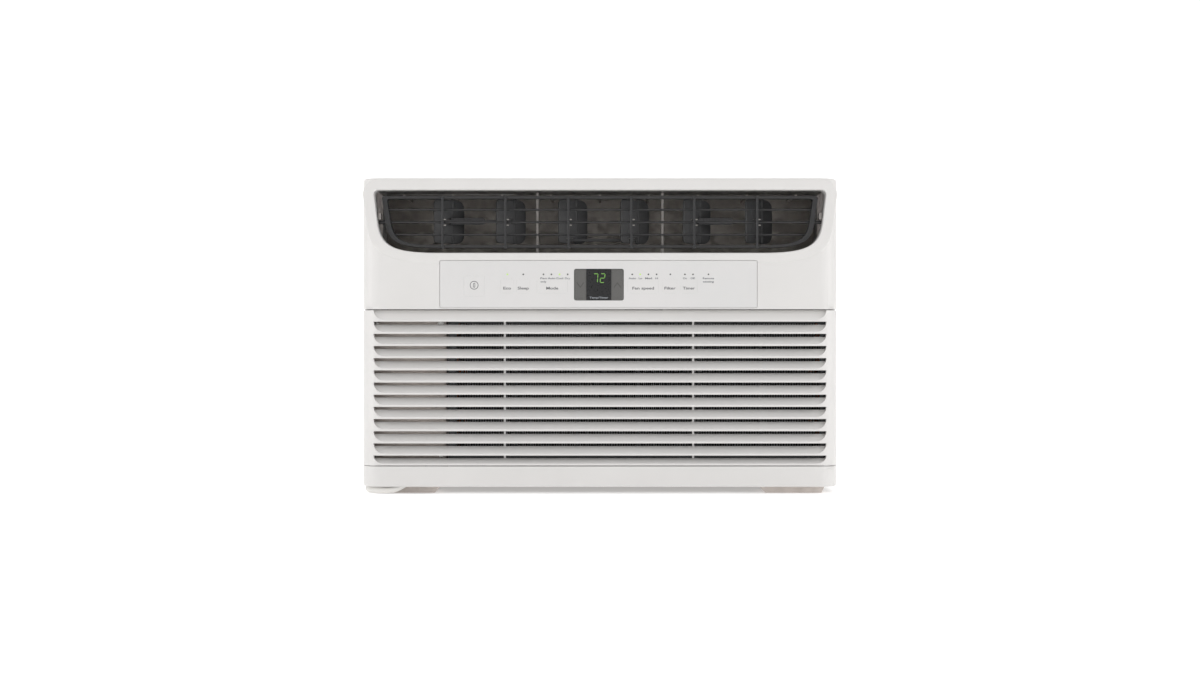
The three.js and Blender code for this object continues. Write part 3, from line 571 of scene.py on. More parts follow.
@dataclass
class Studio:
    """A white paper sweep, a level camera straight in front, and large soft lights (metres)."""
    eye: tuple[float, float, float] = (0.0, -1.9935, 0.154)
    lens_mm: float = 54.9
    sweep_half: float = 4.0
    sweep_front: float = -4.0
    sweep_back: float = 2.2
    sweep_radius: float = 0.8
    sweep_top: float = 4.0
    room_light: float = 0.56
    # Each lamp's name, place, aim, side and watts.
    lamps: tuple = (
        ("key_light", (-1.0, -2.4, 2.3), (0.0, 0.0, 0.12), 1.8, 13.5),
        ("fill_light", (1.7, -2.2, 1.0), (0.0, 0.0, 0.15), 1.8, 5.5),
        ("left_light", (-2.4, -0.9, 0.7), (0.0, -0.1, 0.15), 1.6, 17.5),
        ("right_light", (2.4, -0.9, 0.7), (0.0, -0.1, 0.15), 1.6, 17.5),
        ("top_light", (0.0, 0.2, 2.6), (0.0, 0.0, 0.0), 2.4, 12.0),
        ("back_light", (0.6, 2.0, 1.8), (0.0, 0.1, 0.15), 1.6, 9.0))

    def build(self) -> None:
        """Make the camera, the paper and the lights."""
        data = bpy.data.cameras.new("camera")
        data.lens, data.sensor_width = self.lens_mm, 36.0
        data.clip_start, data.clip_end = 0.02, 40.0
        camera = bpy.data.objects.new("camera", data)
        camera.location = self.eye
        camera.rotation_euler = (math.pi / 2, 0.0, 0.0)
        bpy.context.scene.collection.objects.link(camera)
        bpy.context.scene.camera = camera
        bpy.context.scene.view_settings.view_transform = "Standard"
        self._paper()
        for lamp in self.lamps:
            self._lamp(*lamp)
        world = bpy.data.worlds.new("white_room")
        world.use_nodes = True
        sky = world.node_tree.nodes["Background"]
        sky.inputs["Color"].default_value = (1.0, 1.0, 1.0, 1.0)
        sky.inputs["Strength"].default_value = self.room_light
        bpy.context.scene.world = world

    def _paper(self) -> None:
        """Make the sweep: a floor line, a quarter circle and a wall line, carried along X."""
        turn = np.linspace(0, np.pi / 2, 16)
        bend = np.stack([self.sweep_back + self.sweep_radius * np.sin(turn),
                         self.sweep_radius * (1 - np.cos(turn)) - 0.0002], 1)
        ends = [[self.sweep_front, -0.0002]], [[bend[-1, 0], self.sweep_top]]
        line = np.concatenate([ends[0], bend, ends[1]])
        points = np.zeros((2, len(line), 3))
        points[:, :, 0] = np.array([[-self.sweep_half], [self.sweep_half]])
        points[:, :, 1:] = line
        mesh = bpy.data.meshes.new("paper_sweep")
        mesh.from_pydata(points.reshape(-1, 3).tolist(), [], grid_faces(2, len(line), False, False))
        mesh.shade_smooth()
        mesh.materials.append(FLOOR_PAPER.build())
        paper = bpy.data.objects.new("paper_sweep", mesh)
        bpy.context.scene.collection.objects.link(paper)

    def _lamp(self, name: str, place: Sequence[float], aim: Sequence[float], size: float,
              power: float) -> None:
        """Hang a square soft light at a place, turned towards a point.

        Args:
            name: the light's name.
            place, aim: where it is and what it faces, in metres.
            size: its side in metres.
            power: watts.
        """
        data = bpy.data.lights.new(name, "AREA")
        data.size, data.energy = size, power
        lamp = bpy.data.objects.new(name, data)
        lamp.location = place
        lamp.rotation_euler = (Vector(aim) - Vector(place)).to_track_quat("-Z", "Y").to_euler()
        bpy.context.scene.collection.objects.link(lamp)


# Mains lead ------------------------------------------------------------------------------------

def smooth_line(points: Array, steps: int = 4) -> Array:
    """A centripetal Catmull-Rom curve through points, in even steps between each pair.

    Tangents come from the three points about each one, weighted by the root of their distances.

    Args:
        points: the points to pass.
        steps: samples from each point to the next.
    Returns:
        The curve's points.
    """
    p = np.concatenate([[2 * points[0] - points[1]], points, [2 * points[-1] - points[-2]]])
    gap = np.maximum(np.linalg.norm(np.diff(p, axis=0), axis=1), 1e-6)[:, None] ** 0.5
    before, here, after = gap[:-2], gap[1:-1], gap[2:]
    a, b, c, d = p[:-3], p[1:-2], p[2:-1], p[3:]
    start = ((b - a) / before - (c - a) / (before + here) + (c - b) / here) * here
    end = ((c - b) / here - (d - b) / (here + after) + (d - c) / after) * here
    t = (np.arange(steps) / steps)[None, :, None]
    body = ((2 * t ** 3 - 3 * t ** 2 + 1) * b[:, None] + (t ** 3 - 2 * t ** 2 + t) * start[:, None]
            + (3 * t ** 2 - 2 * t ** 3) * c[:, None] + (t ** 3 - t ** 2) * end[:, None])
    return np.concatenate([body.reshape(-1, 3), points[-1:]])


@dataclass
class PowerCord:
    """The lead from its gland round the cabinet's side to a tied coil and the test plug (mm).

    The coil has two turns side by side in three layers; each turn steps to the next place by a
    smooth step an eighth of a turn before the last one's, so that the place is already free.
    """
    radius: float = 3.4
    gland: tuple = ((-169.0, -184.5, 24.0), (-187.0, -185.8, 13.0))
    lead: tuple = (
        (-187.3, -185.8, 12.8), (-191.6, -186.1, 10.2), (-196, -186.4, 7.6), (-201, -186.8, 5.1),
        (-207, -187.1, 3.8), (-214, -186.4, 3.5), (-221, -183.4, 3.5), (-227.2, -177.4, 3.5),
        (-230.4, -169, 3.5), (-231.2, -158, 3.5), (-231, -110, 3.5), (-231, -50, 3.5),
        (-231, 30, 3.5), (-231, 110, 3.5), (-230, 160, 3.5), (-224, 184, 3.5), (-210, 206, 3.5),
        (-197, 222, 3.5), (-191.8, 236, 3.5))
    tail: tuple = (
        (-124.2, 303.3, 17.4), (-100, 302.5, 13), (-75, 301, 7.6), (-50, 299, 4.4),
        (-22, 297.4, 3.9), (0, 296, 7), (16, 295, 12), (33.2, 294.6, 15))
    centre: tuple = (-150.0, 262.0)
    turns: float = 5.25
    slots: tuple = ((41.5, 3.6), (34.4, 3.6), (34.4, 10.7), (41.5, 10.7), (34.4, 17.9),
                    (41.5, 17.9))
    plug: tuple = (60.0, 128.0, 294.6, 15.0)

    def coil_line(self) -> Array:
        """The coil: an angle falling with the turn, and a radius and a height in steps.

        Returns:
            The line's points.
        """
        at = np.linspace(0, self.turns, 127)
        places = np.array(self.slots)
        size = np.repeat(places[:1], len(at), 0)
        for k in range(1, len(places)):
            t = np.clip((at - 0.875 * k) / 0.28 + 0.5, 0, 1)[:, None]
            size = size + (places[k] - places[k - 1]) * t * t * (3 - 2 * t)
        a = np.pi - 2 * np.pi * at
        x = self.centre[0] + size[:, 0] * np.cos(a)
        y = self.centre[1] + size[:, 0] * np.sin(a)
        return np.stack([x, y, size[:, 1]], 1)

    def build(self) -> None:
        knots = np.concatenate([self.lead, self.coil_line(), self.tail])
        line = smooth_line(knots.astype(float))
        cord = piece("mains_lead", tube(line, self.radius, 12), CORD_VINYL, "cabinet",
                     ("power_cord", "power_cord_coil", "power_cord_tail"), angle=60)
        tie = self._tie()
        self._gland()
        plug = self._plug()

    def _tie(self) -> bpy.types.Object:
        """A flat tie: a rounded strip section carried round the winding's section.

        Returns:
            The tie.
        """
        around = rounded_rect(30.7, 45.0, 0.15, 21.5, 3.2)
        inner = inset(around, 0.4)
        ring = np.stack([around, inner])
        angle = np.radians([-98.5, -98.5, -91.5, -91.5])
        pick = [0, 1, 1, 0]
        rings = np.array([[(self.centre[0] + p[0] * math.cos(a), self.centre[1] + p[0] * math.sin(a),
                            p[1]) for p in ring[i]] for a, i in zip(angle, pick)])
        return piece("coil_tie", loft(rings, closed=True), GLAND_RUBBER, "cabinet",
                     soft=0.1)

    def _gland(self) -> None:
        """A strain relief that tapers from 4.9 to 4.1 mm, with a cosine's ribs along its length."""
        t = np.linspace(0, 1, 61)
        start, end = np.array(self.gland)
        ribs = 0.45 * np.clip(np.cos(t * 2 * np.pi * 5), -0.4, 0.5)
        size = 4.9 - 0.8 * t + ribs * np.clip((1 - t) * 6, 0, 1)
        size[0] = 4.6
        piece("cord_strain_relief", tube(start + (end - start) * t[:, None], size, 24), GLAND_RUBBER,
              "cabinet", ("cord_gland",), angle=60)

    def _plug(self) -> list[bpy.types.Object]:
        """The test plug: a body with rounded edges and grip grooves, relief, blades and pin.

        Returns:
            The plug's pieces.
        """
        x0, x1, y, z = self.plug
        outline = rounded_rect(x0, x1, y - 22, y + 22, 8, 8)
        body = prism(outline, 0.1, 30, Axis.Z, 3.0, 5)
        pockets = [prism(rounded_rect(x0 + 17.7, x0 + 30.3, y + s * 9 - 6.3, y + s * 9 + 6.3, 1.2),
                         23, 31, Axis.Z) for s in (-1, 1)]
        grooves = [prism(rounded_rect(x0 + 38 + 4 * i, x0 + 39.6 + 4 * i, y - 16, y + 16, 0.7),
                         29.2, 31, Axis.Z) for i in range(6)]
        rim = cut(prism(inset(outline, -1.0), 13.8, 14.6, Axis.Z),
                  prism(inset(outline, 0.6), 13, 15, Axis.Z))
        shell = cut(body, *pockets, *grooves, rim)
        case = piece("plug_case", shell, CORD_VINYL, "cabinet", ("plug",), soft=0.25)
        t = np.linspace(0, 1, 81)
        ribs = 0.5 * np.clip(np.cos(t * 2 * np.pi * 6), -0.3, 0.6) * np.clip((1 - t) * 5, 0, 1)
        line = np.array([x0 - 26, y, z]) + np.array([27.0, 0, 0]) * t[:, None]
        relief = piece("plug_relief", tube(line, 4.3 + 2.2 * t + ribs * np.clip(t * 8, 0, 1), 24),
                       CORD_VINYL, "cabinet", angle=60)
        blades = [prism(rounded_rect(x1 - 1, x1 + 16.8, z - 3, z + 3, 1.4), y + d - 0.75, y + d + 0.75,
                        Axis.Y, 0.25) for d in (-6.35, 6.35)]
        blades.append(tube(np.array([[x1 - 1, y, z - 10], [x1 + 16, y, z - 10], [x1 + 18.6, y, z - 10],
                                     [x1 + 19.7, y, z - 10]]), np.array([2.35, 2.35, 1.7, 0.6]), 20))
        metal = piece("plug_blades", together(blades), BRASS_BLADE, "cabinet", soft=0.08)
        buttons = [piece(f"{name}_button", prism(rounded_rect(x0 + 18, x0 + 30, y + s * 9 - 6,
                                                              y + s * 9 + 6, 1.6), 25, 31.2, Axis.Z,
                                                 0.8), finish, f"plug_{name}",
                         (f"plug_{name}_button",))
                   for name, s, finish in (("test", -1, LEVER_AND_HIGHLIGHT_ABS), ("reset", 1, POST_ABS))]
        return [case, relief, metal, *buttons]


# Front -----------------------------------------------------------------------------------------

HALF, FRONT, FRAME_BACK = 235.0, -193.5, -120.0
STRIP_TOP, FASCIA_BOTTOM = 27.2, 181.8
KEY_Z = 204.6
# The film keys' names, middles across, widths and heights.
KEYS = (("power", -123.8, 20.0, 20.0), ("eco", -91.2, 13.0, 14.0), ("sleep", -75.4, 13.0, 14.0),
        ("mode", -47.0, 30.0, 14.0), ("fan_speed", 42.4, 30.0, 14.0), ("filter", 68.7, 14.0, 14.0),
        ("timer", 87.4, 17.0, 14.0))


def plan_outline(amount: float, back: float, steps: int = 12) -> Array:
    """The front's outline from above, anticlockwise: two quarter circles of 20 mm at the front.

    Args:
        amount: how far it is set in.
        back: the y of its back edge.
        steps: segments in each corner.
    Returns:
        The outline's points.
    """
    r, x, y = 20.0 - amount, HALF - amount, FRONT + amount
    turn = np.linspace(0, np.pi / 2, steps + 1)
    left = np.stack([-x + r - r * np.cos(turn), y + r - r * np.sin(turn)], 1)
    right = np.stack([x - r + r * np.sin(turn), y + r - r * np.cos(turn)], 1)
    return np.concatenate([left, right, [[x, back], [-x, back]]])


def outlet_outline(dx: float, dz: float) -> Array:
    """The outlet's outline, anticlockwise: cubic curves sweep up at the lower corners.

    Args:
        dx, dz: how far its sides and its top and bottom are moved outwards.
    Returns:
        The outline's points, always equally many.
    """
    top, bottom, half, bend = 299.2 + dz, 237.4 - dz, 222.6 + dx, 268.4
    r = 4.5 + max(dx, -2.0)
    t = np.linspace(0, 1, 19)[:, None]
    knots = np.array([[159.0, bottom], [half - 17.6, bottom], [half - 6.1, 244 - dz / 2],
                      [half - 3.1, bend]])
    curve = ((1 - t) ** 3 * knots[0] + 3 * (1 - t) ** 2 * t * knots[1]
             + 3 * (1 - t) * t ** 2 * knots[2] + t ** 3 * knots[3])
    turn = np.linspace(0, np.pi / 2, 7)
    corner = np.stack([half - r + r * np.cos(turn), top - r + r * np.sin(turn)], 1)
    right = np.concatenate([curve, corner])
    left = right[::-1] * [-1, 1]
    return np.concatenate([right, left])


def outlet_band(profile: Sequence[tuple[float, float]], squeeze: float = 1.0) -> Shell:
    """A ring that follows the outlet's outline with a closed section.

    Args:
        profile: pairs of (outwards, y).
        squeeze: how much of the outward step the top and bottom take.
    Returns:
        The ring.
    """
    rings = [raised(outlet_outline(d, d * squeeze), y, Axis.Y) for d, y in profile]
    return loft(np.stack(rings), closed=True)


def key_hole(x: float, w: float, h: float, grow: float, y0: float, y1: float, r: float) -> Shell:
    """A block the size of a film key and a little more, to cut its place with.

    Args:
        x: the key's middle across.
        w, h: the key's width and height.
        grow: the extra on each side.
        y0, y1: the block's front and back.
        r: the corners' radius.
    Returns:
        The block.
    """
    return slab(x - w / 2 - grow, x + w / 2 + grow, y0, y1, KEY_Z - h / 2 - grow,
                KEY_Z + h / 2 + grow, r, 0)


@dataclass
class FrontFrame:
    """The moulded shell of fascia, bottom strip and side walls, with the outlet's raised bezel."""
    wall: float = 3.0
    edge: float = 1.6
    sit: float = 0.06
    key_room: float = 0.5

    def build(self) -> None:
        """Cut the shell from rounded prisms, and set the bezel in its hole."""
        outer = prism(plan_outline(self.sit, FRAME_BACK), 7, 311, Axis.Z, self.edge, 5)
        face = prism(rounded_rect(-HALF + 0.01, HALF - 0.01, 7.01, 310.99, 4, 8), FRONT - 1,
                     FRAME_BACK + 1, Axis.Y)
        hollow = prism(plan_outline(self.wall, FRAME_BACK + 1), 9.5, 308.5, Axis.Z)
        band = slab(-HALF - 1, HALF + 1, FRONT - 1, -162, STRIP_TOP, FASCIA_BOTTOM, 0.01, 0)
        pan = slab(-232, 232, -165, FRAME_BACK + 1, 0, 10, 0.01, 0)
        ledge = slab(-230.5, 230.5, FRONT + 2, FRONT + 22, FASCIA_BOTTOM, FASCIA_BOTTOM + 1.1, 0.3, 0)
        lower = slab(-150, 230.5, FRONT + 2, FRONT + 10, STRIP_TOP - 2.5, STRIP_TOP, 0.3, 0)
        panel = prism(rounded_rect(-157.9, 154.9, 182.9, 230.0, 2), FRONT - 1, FRONT + 1.3)
        display = slab(-25.7, 23.5, FRONT, FRONT + 8, 190.3, 221.7, 2, 0)
        gland = slab(-214, -170, FRONT + 3.2, FRONT + 12.5, 6, 11, 0.4, 0)
        opening = prism(outlet_outline(10.2, 10.2), FRONT - 1, FRONT + 16)
        rooms = together([key_hole(x, w, h, self.key_room, FRONT, FRONT + 5, 1) for _, x, w, h in KEYS])
        shell = carve(outer, [("INTERSECT", face), ("DIFFERENCE", hollow), ("DIFFERENCE", band),
                              ("DIFFERENCE", pan), ("UNION", ledge), ("UNION", lower),
                              ("DIFFERENCE", panel), ("DIFFERENCE", display),
                              ("DIFFERENCE", gland), ("DIFFERENCE", opening),
                              ("DIFFERENCE", rooms)])
        piece("front_shell", shell, WHITE_ABS, "cabinet", ("front_frame",),
              soft=0.35)
        f = FRONT
        lip = [(11, f + 13), (11, f + 1.2), (10.75, f + 0.5), (10.2, f + 0.12), (9.4, f),
               (1.5, f), (0.9, f + 0.1), (0.42, f + 0.4), (0.1, f + 0.9), (0, f + 1.6),
               (0, f + 19.8), (2.5, f + 20), (2.5, f + 13)]
        bezel = cut(outlet_band(lip), panel)
        piece("outlet_bezel", bezel, WHITE_ABS, "cabinet", angle=40)


@dataclass
class IntakeGrille:
    """A plate that wraps both corners, with thirteen slots that each have a sloping slat.

    A slot's end is a quarter ellipse from the slat's nose up to a sharp tip at the slot's top.
    """
    rows: int = 13
    pitch: float = 11.98
    top: float = 181.6
    bottom: float = 27.7
    half: float = 223.0
    round_x: float = 10.5
    nose: float = 2.0
    depth: float = 7.4
    ribs: tuple = (-94.0, 92.0)

    def slot(self, row: int) -> Array:
        """One slot's outline, anticlockwise, between the slat's nose and its straight top.

        Args:
            row: the slot's number from the top.
        Returns:
            The outline's points.
        """
        top = self.top - self.pitch * row
        low = max(top - self.pitch + self.nose, self.bottom + 2.2)
        turn = np.linspace(0, np.pi / 2, 14)
        right = np.stack([self.half - self.round_x + self.round_x * np.sin(turn),
                          top - (top - low) * np.cos(turn)], 1)
        return np.concatenate([right, (right * [-1, 1])[::-1]])

    def slat(self, row: int) -> Shell:
        """One slat: a nose with a rounded upper edge, then a slope up and back to a thin rim.

        Args:
            row: the slat's number from the top.
        Returns:
            The slat's shell.
        """
        low = max(self.top - self.pitch * (row + 1), self.bottom + 0.4)
        rise = self.top - self.pitch * row - 3.0 if row else self.top + 1.0
        n = low + self.nose
        turn = np.radians([0, 18, 36])
        nose = np.stack([FRONT + 0.07 + 1.9 * (1 - np.cos(turn)), n - 1.1 + 1.9 * np.sin(turn)], 1)
        section = np.concatenate([[[FRONT + 0.07, low]], nose, [
            [FRONT + self.depth, rise], [FRONT + self.depth + 1.2, rise],
            [FRONT + self.depth + 1.2, rise - 1.6], [FRONT + 2.4, low]]])[::-1]
        return prism(section, -self.half - 0.4, self.half + 0.4, Axis.X)

    def build(self) -> None:
        """Cut the slots from the plate and its end blocks, then add slats and ribs."""
        side = [[FRONT + 1.5, 27.7], [-162.4, 27.7], [-162.4, 178.2], [-177, 180.3],
                [FRONT + 0.8, self.top - 0.5], [FRONT, self.top - 1.2], [FRONT, 29.2]]
        wrap = prism(plan_outline(0.06, -162), 20, 200, Axis.Z)
        inner = prism(plan_outline(3.0, -161), 19, 201, Axis.Z)
        plate = carve(wrap, [("DIFFERENCE", inner),
                             ("INTERSECT", prism(np.array(side), -HALF, HALF, Axis.X))])
        within = prism(plan_outline(0.8, -162), 20, 200, Axis.Z)
        blocks = carve(together([slab(s * 219.5 - 8, s * 219.5 + 8, FRONT + 1, FRONT + 8.4, 28.6,
                                      180.6, 0.3, 0) for s in (-1, 1)]), [("INTERSECT", within)])
        slots = together([prism(self.slot(k), FRONT - 2, FRONT + 12) for k in range(self.rows)])
        slats = carve(together([self.slat(k) for k in range(self.rows)]),
                      [("INTERSECT", prism(plan_outline(0.07, -162), 27.9, 181.0, Axis.Z))])
        grille = carve(plate, [("UNION", blocks), ("DIFFERENCE", slots)])
        piece("grille_plate", grille, WHITE_ABS, "grille", ("intake_grille",),
              soft=0.22)
        piece("grille_slats", slats, WHITE_ABS, "grille", soft=0.15, angle=24)
        ribs = together([slab(x - 1, x + 1, FRONT + 7.2, FRONT + 10.6, 29, 180.4) for x in self.ribs])
        piece("grille_ribs", ribs, WHITE_ABS, "grille")


# Control panel ---------------------------------------------------------------------------------

def lettering(words: Sequence[tuple[str, float, float, float]], height: float, y: float) -> Shell:
    """Print words as flat meshes that face the room, each spread to its own width.

    Args:
        words: (text, x of its middle, z of its middle, width) each.
        height: the capitals' height.
        y: the plane that they lie in.
    Returns:
        The letters' shell in millimetres.
    """
    shells = []
    for text, x, z, width in words:
        curve = bpy.data.curves.new("print", "FONT")
        curve.body, curve.size, curve.resolution_u = text, height * 1.4, 3
        curve.offset = 0.07
        holder = bpy.data.objects.new("print", curve)
        bpy.context.scene.collection.objects.link(holder)
        bpy.context.view_layer.update()
        mesh = bpy.data.meshes.new_from_object(
            holder.evaluated_get(bpy.context.evaluated_depsgraph_get()))
        flat = np.empty(len(mesh.vertices) * 3)
        mesh.vertices.foreach_get("co", flat)
        flat = flat.reshape(-1, 3)
        across = flat[:, 0] - flat[:, 0].min()
        across = x + (across / across.max() - 0.5) * width
        points = np.stack([across, np.full(len(flat), y), z + flat[:, 1] - height / 2], 1)
        shells.append((points, [list(p.vertices) for p in mesh.polygons]))
        bpy.data.objects.remove(holder)
        bpy.data.meshes.remove(mesh)
    return together(shells)


def facing_room(made: bpy.types.Object) -> bpy.types.Object:
    """Turn a flat print's faces towards the room, which is towards -Y.

    Args:
        made: the print.
    Returns:
        The same object.
    """
    work = bmesh.new()
    work.from_mesh(made.data)
    wrong = [f for f in work.faces if f.normal.y > 0]
    bmesh.ops.reverse_faces(work, faces=wrong)
    work.to_mesh(made.data)
    work.free()
    return made


@dataclass
class ControlPanel:
    """A printed film over nine keys, small lamps, and a lens with a two-digit display."""
    film: float = FRONT + 0.1
    back: float = FRONT + 0.9
    arrows: tuple = (("temp_down", -18.9, 9.2, 27.0), ("temp_up", 16.6, 9.2, 27.0))
    lamp_z: float = 216.1
    lamps: tuple = (-75.5, -55.6, -47.8, -31.8, 31.7, 47.6, 55.7, 69.2, 83.5, 91.5, 106.7)
    lit: tuple = (-91.1, -39.8, 39.5)
    words: tuple = (
        ("eco", "Eco", -91.3, 7.6), ("sleep", "Sleep", -75.5, 11.1), ("mode", "Mode", -47.0, 11.8),
        ("fan_speed", "Fan speed", 42.5, 21.3), ("filter", "Filter", 68.9, 11.1),
        ("timer", "Timer", 87.4, 11.8))
    choices: tuple = (
        ("Fan", -55.5, 212.3, 6.3), ("Auto", -47.7, 212.3, 7.4),
        ("Cool", -39.7, 212.3, 7.0), ("Dry", -31.9, 212.3, 5.2), ("Auto", 31.8, 212.3, 7.4),
        ("Lo", 39.8, 212.3, 3.5), ("Med", 47.8, 212.3, 6.8), ("Hi", 55.8, 212.3, 2.7),
        ("On", 83.5, 212.3, 3.7), ("Off", 91.2, 212.3, 4.2), ("Remote", 106.7, 212.3, 11.2),
        ("sensing", 106.7, 209.0, 10.6))

    def build(self) -> None:
        """Make the film, the keys with their print, the lamps and the display."""
        film = prism(rounded_rect(-157.5, 154.5, 183.3, 229.6, 1.6), self.film, self.back, Axis.Y, 0.12)
        holes = together([key_hole(x, w, h, 0.05, FRONT - 1, FRONT + 2, 1.2) for _, x, w, h in KEYS])
        display = slab(-25.6, 23.4, FRONT - 1, FRONT + 2, 190.4, 221.6, 2, 0)
        piece("panel_film", cut(film, holes, display), PANEL_FILM, "cabinet",
              ("control_overlay",))
        for name, x, w, h in KEYS:
            pad = prism(rounded_rect(x - w / 2, x + w / 2, KEY_Z - h / 2, KEY_Z + h / 2, 1.1),
                        self.film, self.back)
            plunger = slab(x - 2.2, x + 2.2, self.film + 0.6, FRONT + 5.3, KEY_Z - 2.2, KEY_Z + 2.2)
            piece(f"{name}_key", together([pad, plunger]), PANEL_FILM, f"key_{name}",
                  (f"key_{name}",))
        self._print()
        self._display()

    def _print(self) -> None:
        """Print the words in two sizes and the power sign, and set the lamps."""
        y = self.film - 0.03
        for name, text, x, width in self.words:
            word = lettering([(text, x, 202.6, width)], 2.7, y)
            facing_room(piece(f"{name}_word", word, GREY_INK, f"key_{name}"))
        small = lettering(self.choices, 1.8, y)
        facing_room(piece("panel_words", small, PALE_INK, "cabinet"))
        only = lettering([("only", -55.6, 209.0, 6.0)], 1.8, y)
        facing_room(piece("mode_second_line", only, PALE_INK, "key_mode"))
        x0, z0 = -123.8, 205.4
        ring = [circle(x0, z0, r, 48) for r in (3.6, 4.2)]
        pill = rounded_rect(x0 - 0.95, x0 + 0.95, z0 - 2.3, z0 + 2.3, 0.93, 6)
        bands = [ring, [inset(pill, 0.5), pill]]
        sign = together([(np.concatenate([raised(o, y, Axis.Y) for o in band]),
                          grid_faces(2, len(band[0]), False, True)) for band in bands])
        facing_room(piece("power_sign", sign, GREY_INK, "key_power"))
        for name, places, finish in (("dark_lamps", self.lamps, LAMP_OFF),
                                     ("lit_lamps", self.lit, LAMP_GREEN)):
            dome = [(0, FRONT + 0.01), (0.5, FRONT + 0.02), (0.8, FRONT + 0.1), (0.8, FRONT + 0.6)]
            lamps = [lathe(np.array(dome), x, 0, self.lamp_z, Axis.Y, 16) for x in places]
            piece(name, together(lamps), finish, "cabinet")

    def _display(self) -> None:
        """Make the surround, the arrow keys with chevrons, the lens and its lit digits."""
        front = prism(rounded_rect(-25.3, 23.1, 190.7, 221.3, 2), self.film, FRONT + 4, Axis.Y, 0.3)
        holes = [slab(x - w / 2 - 0.08, x + w / 2 + 0.08, FRONT - 1, FRONT + 5, 206 - 13.6, 206 + 13.6,
                      1.3, 0) for _, x, w, _ in self.arrows]
        holes += [slab(-13.4, 11.0, FRONT - 1, FRONT + 5, 192.2, 219.8, 0.8, 0),
                  slab(-13.6, 11.2, FRONT - 1, FRONT + 0.75, 189, 223, 0.1, 0)]
        piece("display_frame", cut(front, *holes), ARROW_ABS, "cabinet",
              ("display_surround",), soft=0.05)
        for (name, x, w, _), way, at in zip(self.arrows, (-1, 1), (-19.4, 17.1)):
            pad = prism(rounded_rect(x - w / 2, x + w / 2, 192.5, 219.5, 1.3), self.film + 0.02,
                        self.back + 0.4, Axis.Y, 0.05)
            plunger = slab(x - 2.2, x + 2.2, self.back, FRONT + 5.3, 203.8, 208.2)
            piece(f"{name}_key", together([pad, plunger]), ARROW_ABS, f"key_{name}",
                  (f"key_{name}",))
            z, y = 205.6, self.film - 0.01
            v = np.array([[-3.6, -2.2], [0, 2.8], [3.6, -2.2], [3.2, -2.8], [0, 1.5], [-3.2, -2.8]])
            points = np.stack([at + v[:, 0], np.full(6, y), z + way * v[:, 1]], 1)
            facing_room(piece(f"{name}_chevron", (points, [[0, 1, 4, 5], [1, 2, 3, 4]]), CHEVRON_INK,
                              f"key_{name}"))
        plate = prism(rounded_rect(-13.5, 11.1, 190.8, 221.2, 0.3), self.film + 0.02, FRONT + 0.7,
                      Axis.Y, 0.12)
        block = prism(rounded_rect(-13.2, 10.8, 192.4, 219.6, 0.6), FRONT + 0.5, FRONT + 6)
        piece("display_lens", together([plate, block]), SMOKED_LENS, "cabinet",
              ("display_window",))
        bars = []
        segments = {"7": "abc", "2": "abged"}
        for digit, x in (("7", -4.4), ("2", 2.5)):
            for mark in segments[digit]:
                bars.append(self._segment(mark, x, 212.4))
        facing_room(piece("lit_digits", together(bars), DIGIT_GREEN, "cabinet"))
        caption = lettering([("Temp/Timer", -1.1, 193.3, 18.5)], 1.7, self.film)
        facing_room(piece("lens_caption", caption, LENS_INK, "cabinet"))

    def _segment(self, mark: str, x: float, z: float) -> Shell:
        """One bar of a seven-part digit: a long hexagon, slanted with its height.

        Args:
            mark: its usual letter, from a at the top round to f, and g in the middle.
            x, z: the digit's middle.
        Returns:
            The bar's flat shell.
        """
        w, h, t = 2.1, 4.3, 0.32
        ends = {"a": ((-w, h), (w, h)), "g": ((-w, 0), (w, 0)), "d": ((-w, -h), (w, -h)),
                "b": ((w, h), (w, 0)), "c": ((w, 0), (w, -h)), "e": ((-w, 0), (-w, -h)),
                "f": ((-w, h), (-w, 0))}[mark]
        a, b = np.array(ends[0], float), np.array(ends[1], float)
        along = (b - a) / np.linalg.norm(b - a)
        across = np.array([-along[1], along[0]])
        a, b = a + along * 0.25, b - along * 0.25
        v = np.array([a, a + (along + across) * t, b + (across - along) * t, b,
                      b - (along + across) * t, a + (along - across) * t])
        v[:, 0] += v[:, 1] * 0.08
        points = np.stack([x + v[:, 0], np.full(6, self.film), z + v[:, 1]], 1)
        return points, [[0, 1, 2, 3, 4, 5]]


# Outlet: louver, vanes, links and duct ---------------------------------------------------------

# The vanes stand evenly, a little to the right of the bars in front of them.
VANE_PITCH, VANE_SHIFT = 62.2, 7.3
LOW_LINK, HIGH_LINK = 251.6, 270.6
PIVOTS = np.array([(i - 2.5) * VANE_PITCH + VANE_SHIFT for i in range(6)])
PIVOT_Y = -152.0
TURN = math.radians(38)


def turned(shell: Shell, angle: float, x: float, y: float) -> Shell:
    """Turn a shell about an upright line through the origin, then move it.

    Args:
        shell: the shell in its own axes.
        angle: the turn in radians.
        x, y: where its origin goes.
    Returns:
        The placed shell.
    """
    c, s = math.cos(angle), math.sin(angle)
    p = shell[0]
    points = np.stack([p[:, 0] * c - p[:, 1] * s + x, p[:, 0] * s + p[:, 1] * c + y, p[:, 2]], 1)
    return points, shell[1]


